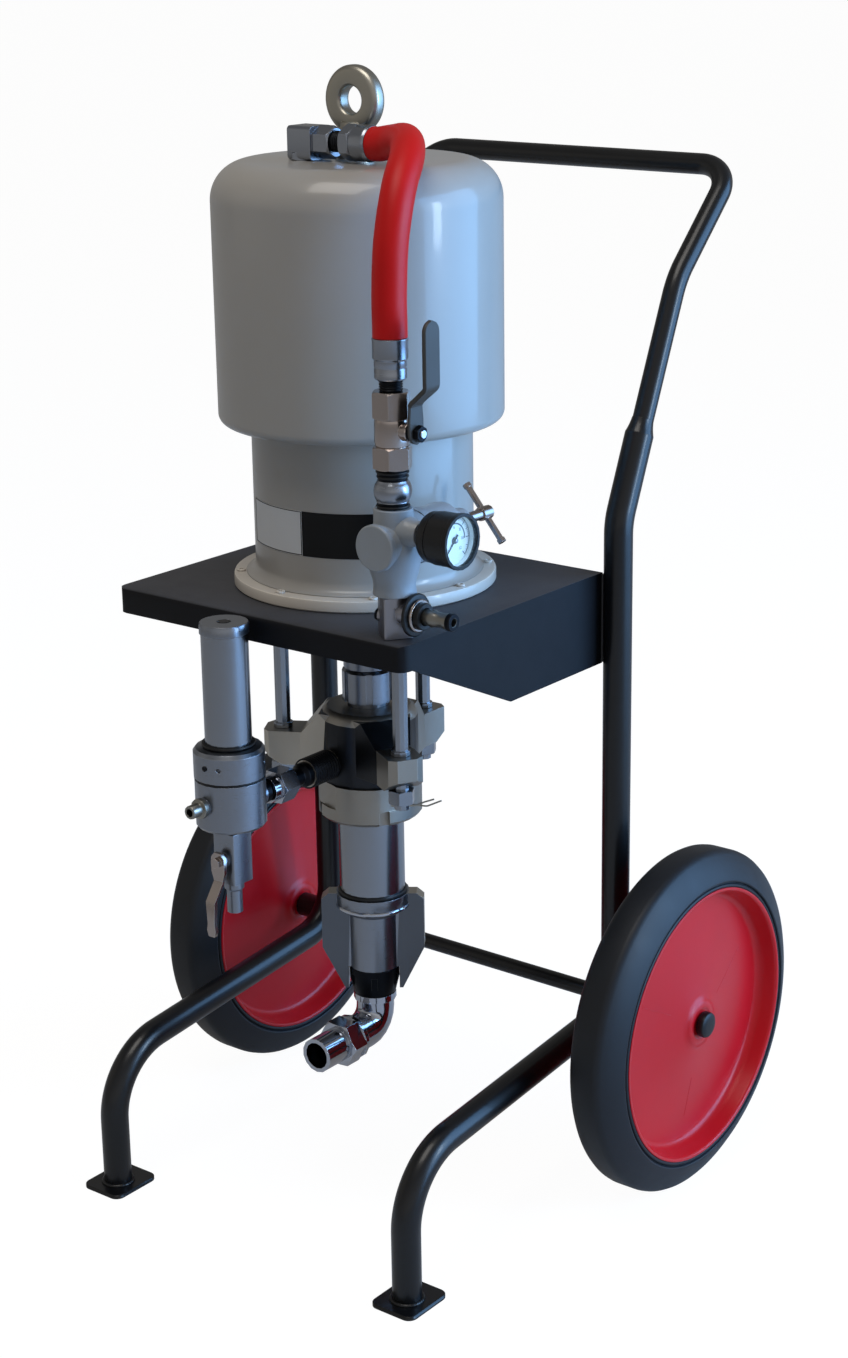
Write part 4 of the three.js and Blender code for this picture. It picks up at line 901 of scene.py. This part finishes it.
def add_gauge():
    """White dial with a scale from 0 to 12, a dark band, the pointer and its hub."""
    x, y = LINE
    make("dial", lathe(sleeve(3.2, 21.6, 66.05, 66.4), LINE, 64, "+x", GAUGE_Z), DIAL)

    # The plane of the dial seen from +x: u to the right is +y, v is up.
    def spot(r, angle, lift):
        """Point at a clock angle in degrees, 0 at the top and growing clockwise."""
        return at(x + 66.4 + lift, y + r * sind(angle), GAUGE_Z + r * cosd(angle))

    def scale(work):
        for i in range(49):
            start, half = (16.4, 0.42) if i % 8 == 0 else (17.6, 0.28) if i % 4 == 0 else (18.9, 0.15)
            angle = -135 + 270 * i / 48
            side = Vector((0, cosd(angle), -sind(angle))) * half * MM
            loft(work, [[
                work.verts.new(spot(r, angle, h) + side * sign)
                for r, sign in ((start, -1), (20.6, -1), (20.6, 1), (start, 1))] for h in (0.0, 0.12)])

    def swept(inner, outer, start, end):
        steps = max(3, round(abs(end - start) / 4))
        angles = [start + (end - start) * i / steps for i in range(steps + 1)]
        return lambda work: loft(work, [[
            work.verts.new(spot(r, angle, h))
            for r, h in ((inner, 0.0), (outer, 0.0), (outer, 0.1), (inner, 0.1))] for angle in angles])

    upright = Matrix(((0, 0, 1), (1, 0, 0), (0, 1, 0))).to_4x4()

    def numbers(work):
        for i in range(7):
            mesh = word(str(2 * i))
            mesh.transform(Matrix.Translation(spot(11.6, -135 + 45 * i, 0.06)) @ upright)
            work.from_mesh(mesh)
            bpy.data.meshes.remove(mesh)

    for name, edit in (("scale", scale), ("band", swept(14.0, 15.4, -62, 92)), ("ring", swept(20.8, 21.3, -137, 137)),
                       ("numbers", numbers)):
        make("dial_" + name, edit, DIAL_GREY, smooth=20)

    low, high = (Vector(corner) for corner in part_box("gauge_needle"))
    centre = at(x + 67.2, y, GAUGE_Z)
    offset = (low + high) / 2 - centre
    away = Vector((0, offset.y, offset.z)).normalized()
    turn = Matrix((away, (0, -away.z, away.y), (1, 0, 0))).transposed().to_4x4()
    needle = prism([
        (-6.0, 1.1), (-6.0, -1.1), (-1.5, -0.75), (8, -0.6), (15.2, -0.12), (15.2, 0.12), (8, 0.6), (-1.5, 0.75),
    ], -0.25, 0.25, Matrix.Translation(centre) @ turn)
    disc = lathe([(0, 66.6), (2.5, 66.6), (2.5, 68.4), (1.9, 68.9), (0, 68.9)], LINE, 32, "+x", GAUGE_Z)
    make("pointer", several(needle, disc), INK, "pressure_needle", "gauge_needle", 30)
    make("pointer_hub", lathe([(0, 68.95), (1.7, 68.95), (1.7, 69.5), (1.2, 69.9), (0, 69.9)], LINE, 32, "+x", GAUGE_Z),
         STEEL_SMOOTH, "pressure_needle")


def add_line_details():
    # Port block, turned about its pipe, with its neck, port boss and bolt boss.
    turn = facing("+z", LINE) @ Matrix.Rotation(math.radians(52), 4, "Z")
    make("port_block", joined(
        prism(rounded_box(26, 26, 2.0, 5), 626.7, 663.6, turn),
        lathe(sleeve(0, 14, 655, 664.4), LINE, 40),
        lathe(sleeve(0, 10.5, 4, 21.7), LINE, 40, "+x", PLUG_Z),
        lathe(sleeve(0, 7, 4, 15.4), LINE, 24, "-x", BOLT_Z),
    ), BLOCK, replaces="inlet_block", smooth=30)
    # Black flange, steel ring, dark tip and black collar round the inlet plug.
    for name, finish, segments, profile in (
        ("plug_flange", PLASTIC, 48, [
            (9.6, 21.4), (18.6, 21.4), (19.4, 22.2), (19.4, 24.0), (18.4, 25.0), (15.4, 25.5), (9.6, 25.5)]),
        ("plug_ring", NICKEL, 48, [(9.6, 25.4), (14.0, 25.4), (14.8, 26.2), (14.8, 28.0), (13.8, 29.0), (9.6, 29.0)]),
        ("plug_tip", STEEL_DARK, 40, [(4.2, 60), (7.6, 60), (8.1, 60.6), (8.1, 64.6), (7.4, 65.4), (4.2, 65.4)]),
        ("plug_collar", PLASTIC, 48, [
            (9.3, 28.8), (11.6, 28.8), (12.2, 29.6), (12.2, 33.4), (11.4, 34.4), (8.0, 34.4), (8.0, 31.2),
            (9.3, 30.2)]),
    ):
        make(name, lathe(profile, LINE, segments, "+x", PLUG_Z), finish)
    make("block_bolt", hexagon(11, 15.2, 20.0, LINE, "-x", BOLT_Z, chamfer=0.6), STEEL_DARK, smooth=30)
    make("column_seal", lathe([(13.4, 664.0), (16.6, 664.2), (16.9, 664.5), (13.4, 664.8)], LINE, 48), PLASTIC)


add_regulator()
add_gauge()
add_line_details()


# ---- fine parts of the pump and the filter ----

def add_pump_details():
    """Bright bead on the intake's collar and dark gaskets where the parts meet."""
    make("intake_bead", lathe([
        (33.4, 290.0), (36.6, 290.0), (37.4, 291.0), (37.4, 292.6), (36.6, 293.6), (33.4, 293.6)], PUMP, 96), CHROME)
    make("cylinder_gasket", lathe([
        (32.6, 305.2), (34.2, 305.4), (34.4, 307.2), (33.8, 308.4), (32.6, 308.6)], PUMP, 96), PLASTIC)
    make("ring_gasket", lathe(sleeve(46, 48.6, 427.75, 427.95), PUMP, 96), PLASTIC)
    make("lip_seal", lathe(sleeve(19.2, 21.2, 195.75, 195.95), PUMP, 64), PLASTIC)


def add_filter_details():
    make("filter_seals", several(
        lathe([(21.9, 509.2), (24.6, 509.4), (25.1, 510.6), (24.4, 512.0), (21.9, 512.4)], FILTER, 72),
        lathe([(29.5, 477.5), (32.3, 477.6), (32.6, 478.6), (32.3, 479.7), (29.5, 479.8)], FILTER, 72),
    ), PLASTIC)
    socket = arc(0, 0, 6.4, 0, 300, 5)
    make("cap_socket_shade", prism(socket, 0, 0.2, facing("+z", FILTER, 625.85)), PLASTIC, smooth=20)
    # Set screw in the ring nut.
    make("ring_screw", lathe([(0, 33.2), (2.6, 33.2), (2.6, 33.9), (1.7, 34.1), (1.4, 33.6), (0, 33.6)],
                             FILTER, 24, "-y", 494), STEEL_DARK)


def add_link_sleeve():
    """Black ribbed sleeve over the pump's outlet boss, up to the link pipe."""
    ribs = [(13.6, 50)]
    h = 50.0
    while h < 82.0:
        ribs += [(14.0, h), (15.0, h + 0.7), (15.0, h + 2.0), (14.0, h + 2.7)]
        h += 3.4
    ribs += [(14.0, 83.0), (13.6, 83.0)]
    make("link_sleeve", lathe(ribs, (FILTER[0], PUMP[1]), 64, "-y", 449), STEEL_DARK)


def add_drain_pivot():
    """Black washer and small nut that hold the drain lever on its stem."""
    spot, z = (FILTER[0], 0), 399.0
    back = -(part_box("drain_lever")[1][1] / MM - Y0)
    make("drain_nut", several(
        hexagon(8.5, back + 12.0, back + 15.5, spot, "-y", z, chamfer=0.4),
        lathe(sleeve(0, 6.2, back + 11.2, back + 12.0), spot, 32, "-y", z),
    ), STEEL_DARK, "drain_handle", smooth=30)


def add_lock_pin():
    """Split pin through the end of the front tie rod, below its nut."""
    rod = Vector((PUMP[0] + 85 * cosd(330), PUMP[1] + 85 * sind(330), 423.0))
    along = Vector((0.8, 0.6, 0.0))
    make("lock_pin", several(*[
        tube(bent([(rod + along * u + Vector((0, 0, w)), 5.0) for u, w in leg], 12), 0.8, 10)
        for leg in (((-10.5, 0.4), (12, 0.4), (24, -1.0), (38, 4.5)), ((-10.5, -0.6), (12, -0.6), (22, 3.4), (31, 6.0)))
    ]), ZINC)


add_pump_details()
add_filter_details()
add_link_sleeve()
add_drain_pivot()
add_lock_pin()


# ---- wheels ----

# Solid rubber tyre: flat tread, rounded shoulders and a sidewall that leans in to the rim.
TYRE_HALF = [
    (175, 0), (175, 9.5), (174.4, 12.5), (172.6, 15.6), (170.4, 17.6), (163.0, 22.3), (155.5, 26.0), (149.0, 28.6),
    (146.6, 29.3), (145.4, 28.9), (144.9, 27.4), (144.4, 26.6), (143.6, 27.1), (142.8, 28.6), (141.6, 29.2),
    (140.2, 28.8), (140.2, 12.0),
]
DISC_HALF = [
    (139.7, 29.3), (138.9, 29.6), (137.4, 29.5), (136.2, 28.6), (135.4, 26.0), (133.6, 17.0), (132.2, 12.2),
    (130.6, 9.2), (128.2, 7.4), (125.0, 7.2), (30.0, 19.8), (25.5, 20.9), (23.2, 22.4), (22.0, 23.4), (16.2, 23.5),
    (15.6, 22.9), (14.0, 22.7), (8.3, 22.7),
]
CAP = [(0, 5.3), (8.3, 5.2), (8.3, 0), (12.6, 0), (13, 0.6), (13, 5.6), (12.3, 7.2), (10.6, 8.2), (6.4, 8.7), (0, 8.7)]


def mould_line(centre, side, angle, inner, length):
    """Faint raised line on the outer face of a disc."""
    along = Vector((0, cosd(angle), sind(angle)))
    across = Vector((0, -sind(angle), cosd(angle)))

    def run(work):
        rings = []
        for r in (inner, inner + length):
            lift = 7.2 + (125.0 - r) * 12.6 / 95.0
            rings.append([
                work.verts.new(at(centre + side * (lift + h), 0, AXLE_Z) + (along * r + across * u) * MM)
                for u, h in ((-0.6, -0.4), (0.6, -0.4), (0.35, 0.22), (-0.35, 0.22))])
        loft(work, rings)
    return run


def add_wheel(side, name):
    centre, body = side * WHEEL_X, name + "_wheel"
    spot = (centre, 0)
    make("solid_tyre_" + name, lathe(mirrored(TYRE_HALF), spot, 180, "+x", AXLE_Z), TYRE, body, "tyre_" + name, 28)
    make("pressed_disc_" + name, lathe(mirrored(DISC_HALF), spot, 180, "+x", AXLE_Z), RED, body,
         "wheel_disc_" + name, 40)
    make("mould_lines_" + name, several(*[
        mould_line(centre, side, *line) for line in ((28, 40, 66), (152, 52, 48), (265, 60, 44))]), RED, body)
    make("cap_" + name, lathe(CAP, (side * 286.3, 0), 64, "+x" if side > 0 else "-x", AXLE_Z), PLASTIC,
         replaces="hub_cap_" + name)


add_wheel(1, "right")
add_wheel(-1, "left")


# ---- tubes of the cart ----

TUBE_R, BOW_R = 14.0, 10.4
UPRIGHT_Y, LEG_Y = -11.0, -353.0
LEAN = 23.3
LEAN_Z = 677.0
JOINT = 86.5
KNEE_Z = 137.7


def weld(points, size):
    """Rippled bead along millimetre points."""
    def ripple(i):
        return size * (0.88 + 0.16 * abs(math.sin(i * 1.05)) + 0.04 * random.random())
    return tube(dense(points, 0.9), size, 10, ripple)


def add_foot(x, name):
    """Foot plate with a chamfered rim, welded round the front leg."""
    outline, inset = rounded_box(50, 58, 9, 8), rounded_box(48.6, 56.6, 8.3, 8)
    place = facing("+z", (x, -350.5))

    def plate(work):
        prism(outline, 0.0, 3.3, place)(work)
        rim = [corners_at(work, place, [(u, v, h) for u, v in shape]) for shape, h in ((outline, 3.3), (inset, 4.0))]
        loft(work, rim, caps=False)
        work.faces.new(rim[1])
    make("foot_plate_" + name, plate, BLACK)
    rim = [Vector((*point, 4.6)) for point in arc(x, LEG_Y, TUBE_R + 0.7, 0, 360, 48)]
    make("foot_weld_" + name, weld(rim, 2.1), BLACK, smooth=70)


def add_axle_mount(side, x, name):
    """Sleeve round the axle, its web to the upright and the weld between them."""
    low, high = sorted((side * (FRAME_X - 13), side * (FRAME_X + 17)))
    make("axle_sleeve_" + name, lathe([
        (8.3, low), (12.4, low), (13, low + 0.6), (13, high - 0.6), (12.4, high), (8.3, high),
    ], (0, 0), 48, "+x", AXLE_Z), BLACK)
    turn = Matrix.Translation(at(x, 0, AXLE_Z)) @ Matrix(((0, 0, 1), (1, 0, 0), (0, 1, 0))).to_4x4()
    make("axle_web_" + name, prism([
        (-24, -6), (-9, -6), (-9, 10.5), (0, 13.5), (0, 19.5), (-2.5, 22), (-24, 22)], -3, 3, turn), BLACK, smooth=30)
    bead = [Vector((x + side * 3.2, v, AXLE_Z + w)) for v, w in ((-11.5, -6), (-12.4, 2), (-9.2, 9.4), (-3, 13.2))]
    make("axle_weld_" + name, weld(bead, 1.7), BLACK, smooth=70)


def add_side(side, name):
    x = side * FRAME_X
    knee = Vector((x, UPRIGHT_Y, LEAN_Z))
    top = knee + lean * JOINT
    route = bent([
        ((x, LEG_Y, 2), 0), ((x, LEG_Y, KNEE_Z), 72), ((x, UPRIGHT_Y, KNEE_Z + 0.1 * (UPRIGHT_Y - LEG_Y)), 48),
        (knee, 60), (top, 0),
    ], 3.0)
    socket = tube([top - lean * 64, top + lean * 3], BOW_R + 0.5, 40)
    make("upright_" + name, cut(tube(route, TUBE_R, 56), socket), BLACK, replaces="side_tube_" + name, smooth=40)
    add_foot(x, name)
    add_axle_mount(side, x, name)
    # Swaged collar where the bow goes in, and the weld between the tray and the upright.
    swage = [top + lean * h for h in (-0.6, 0.0, 1.2, 4.0, 8.0, 12.0, 15.0)]
    sizes = (14.0, 13.9, 13.5, 12.6, 11.6, 10.9, 10.55)
    make("swage_" + name, tube(swage, 14, 56, lambda i: sizes[i]), BLACK)
    seam = [Vector((side * 174.6, -17.8, z)) for z in (537, 625)]
    make("tray_weld_" + name, weld(seam, 2.3), BLACK, smooth=70)


def add_bow():
    start = Vector((0, UPRIGHT_Y, LEAN_Z)) + lean * (JOINT - 62)
    half = [((FRAME_X, start.y, start.z), 0), ((FRAME_X, 85.6, 897.7), 85), ((FRAME_X, 185, 995), 36)]
    route = bent(half + [((-x, y, z), bend) for (x, y, z), bend in reversed(half)], 3.0)
    make("bow_tube", tube(route, BOW_R, 48), BLACK, replaces="handle_bow")


def add_axle():
    inner, outer, end = FRAME_X + 17.3, WHEEL_X - 24.3, WHEEL_X + 25.5
    half = [(8, inner), (12.4, inner), (13, inner + 0.6), (13, outer - 0.6), (12.4, outer), (8, outer),
            (8, end - 1.5), (7, end), (0, end)]
    make("axle_rod", lathe(mirrored(half), (0, 0), 48, "+x", AXLE_Z), BLACK, replaces="axle")


lean = Vector((0, sind(LEAN), cosd(LEAN)))
add_side(1, "right")
add_side(-1, "left")
add_bow()
add_axle()


# ---- finishes of the CAD nodes ----

# All others are plain stainless steel.
DRESSED = {
    BLACK: "side_tube_right side_tube_left handle_bow axle",
    TRAY_TOP: "tray",
    MOTOR: "motor_cylinder motor_shroud",
    BASE: "motor_base",
    CAST: "regulator_body regulator_bonnet",
    STEEL_DARK: "intake_nut link_pipe",
    NICKEL: "lifting_eye top_elbow hose_swivel hose_tail air_valve_body air_union regulator_screw inlet_plug "
            "intake_union link_nut outlet_nipple drain_lever",
    CHROME: "piston_rod displacement_rod air_valve_ball piston_ball foot_valve_ball intake_elbow filter_element",
    TYRE: "tyre_right tyre_left",
    RED: "wheel_disc_right wheel_disc_left",
    PLASTIC: "hub_cap_right hub_cap_left gauge_case gauge_needle",
    SLEEVE: "air_valve_lever",
    HOSE: "air_hose",
    GLASS: "gauge_lens",
}
finish_of = {name: finish for finish, names in DRESSED.items() for name in names.split()}
for name, node in nodes.items():
    node.data.materials.clear()
    node.data.materials.append(finish_of.get(name, STEEL))


# ---- update of the view layer ----

bpy.context.view_layer.update()
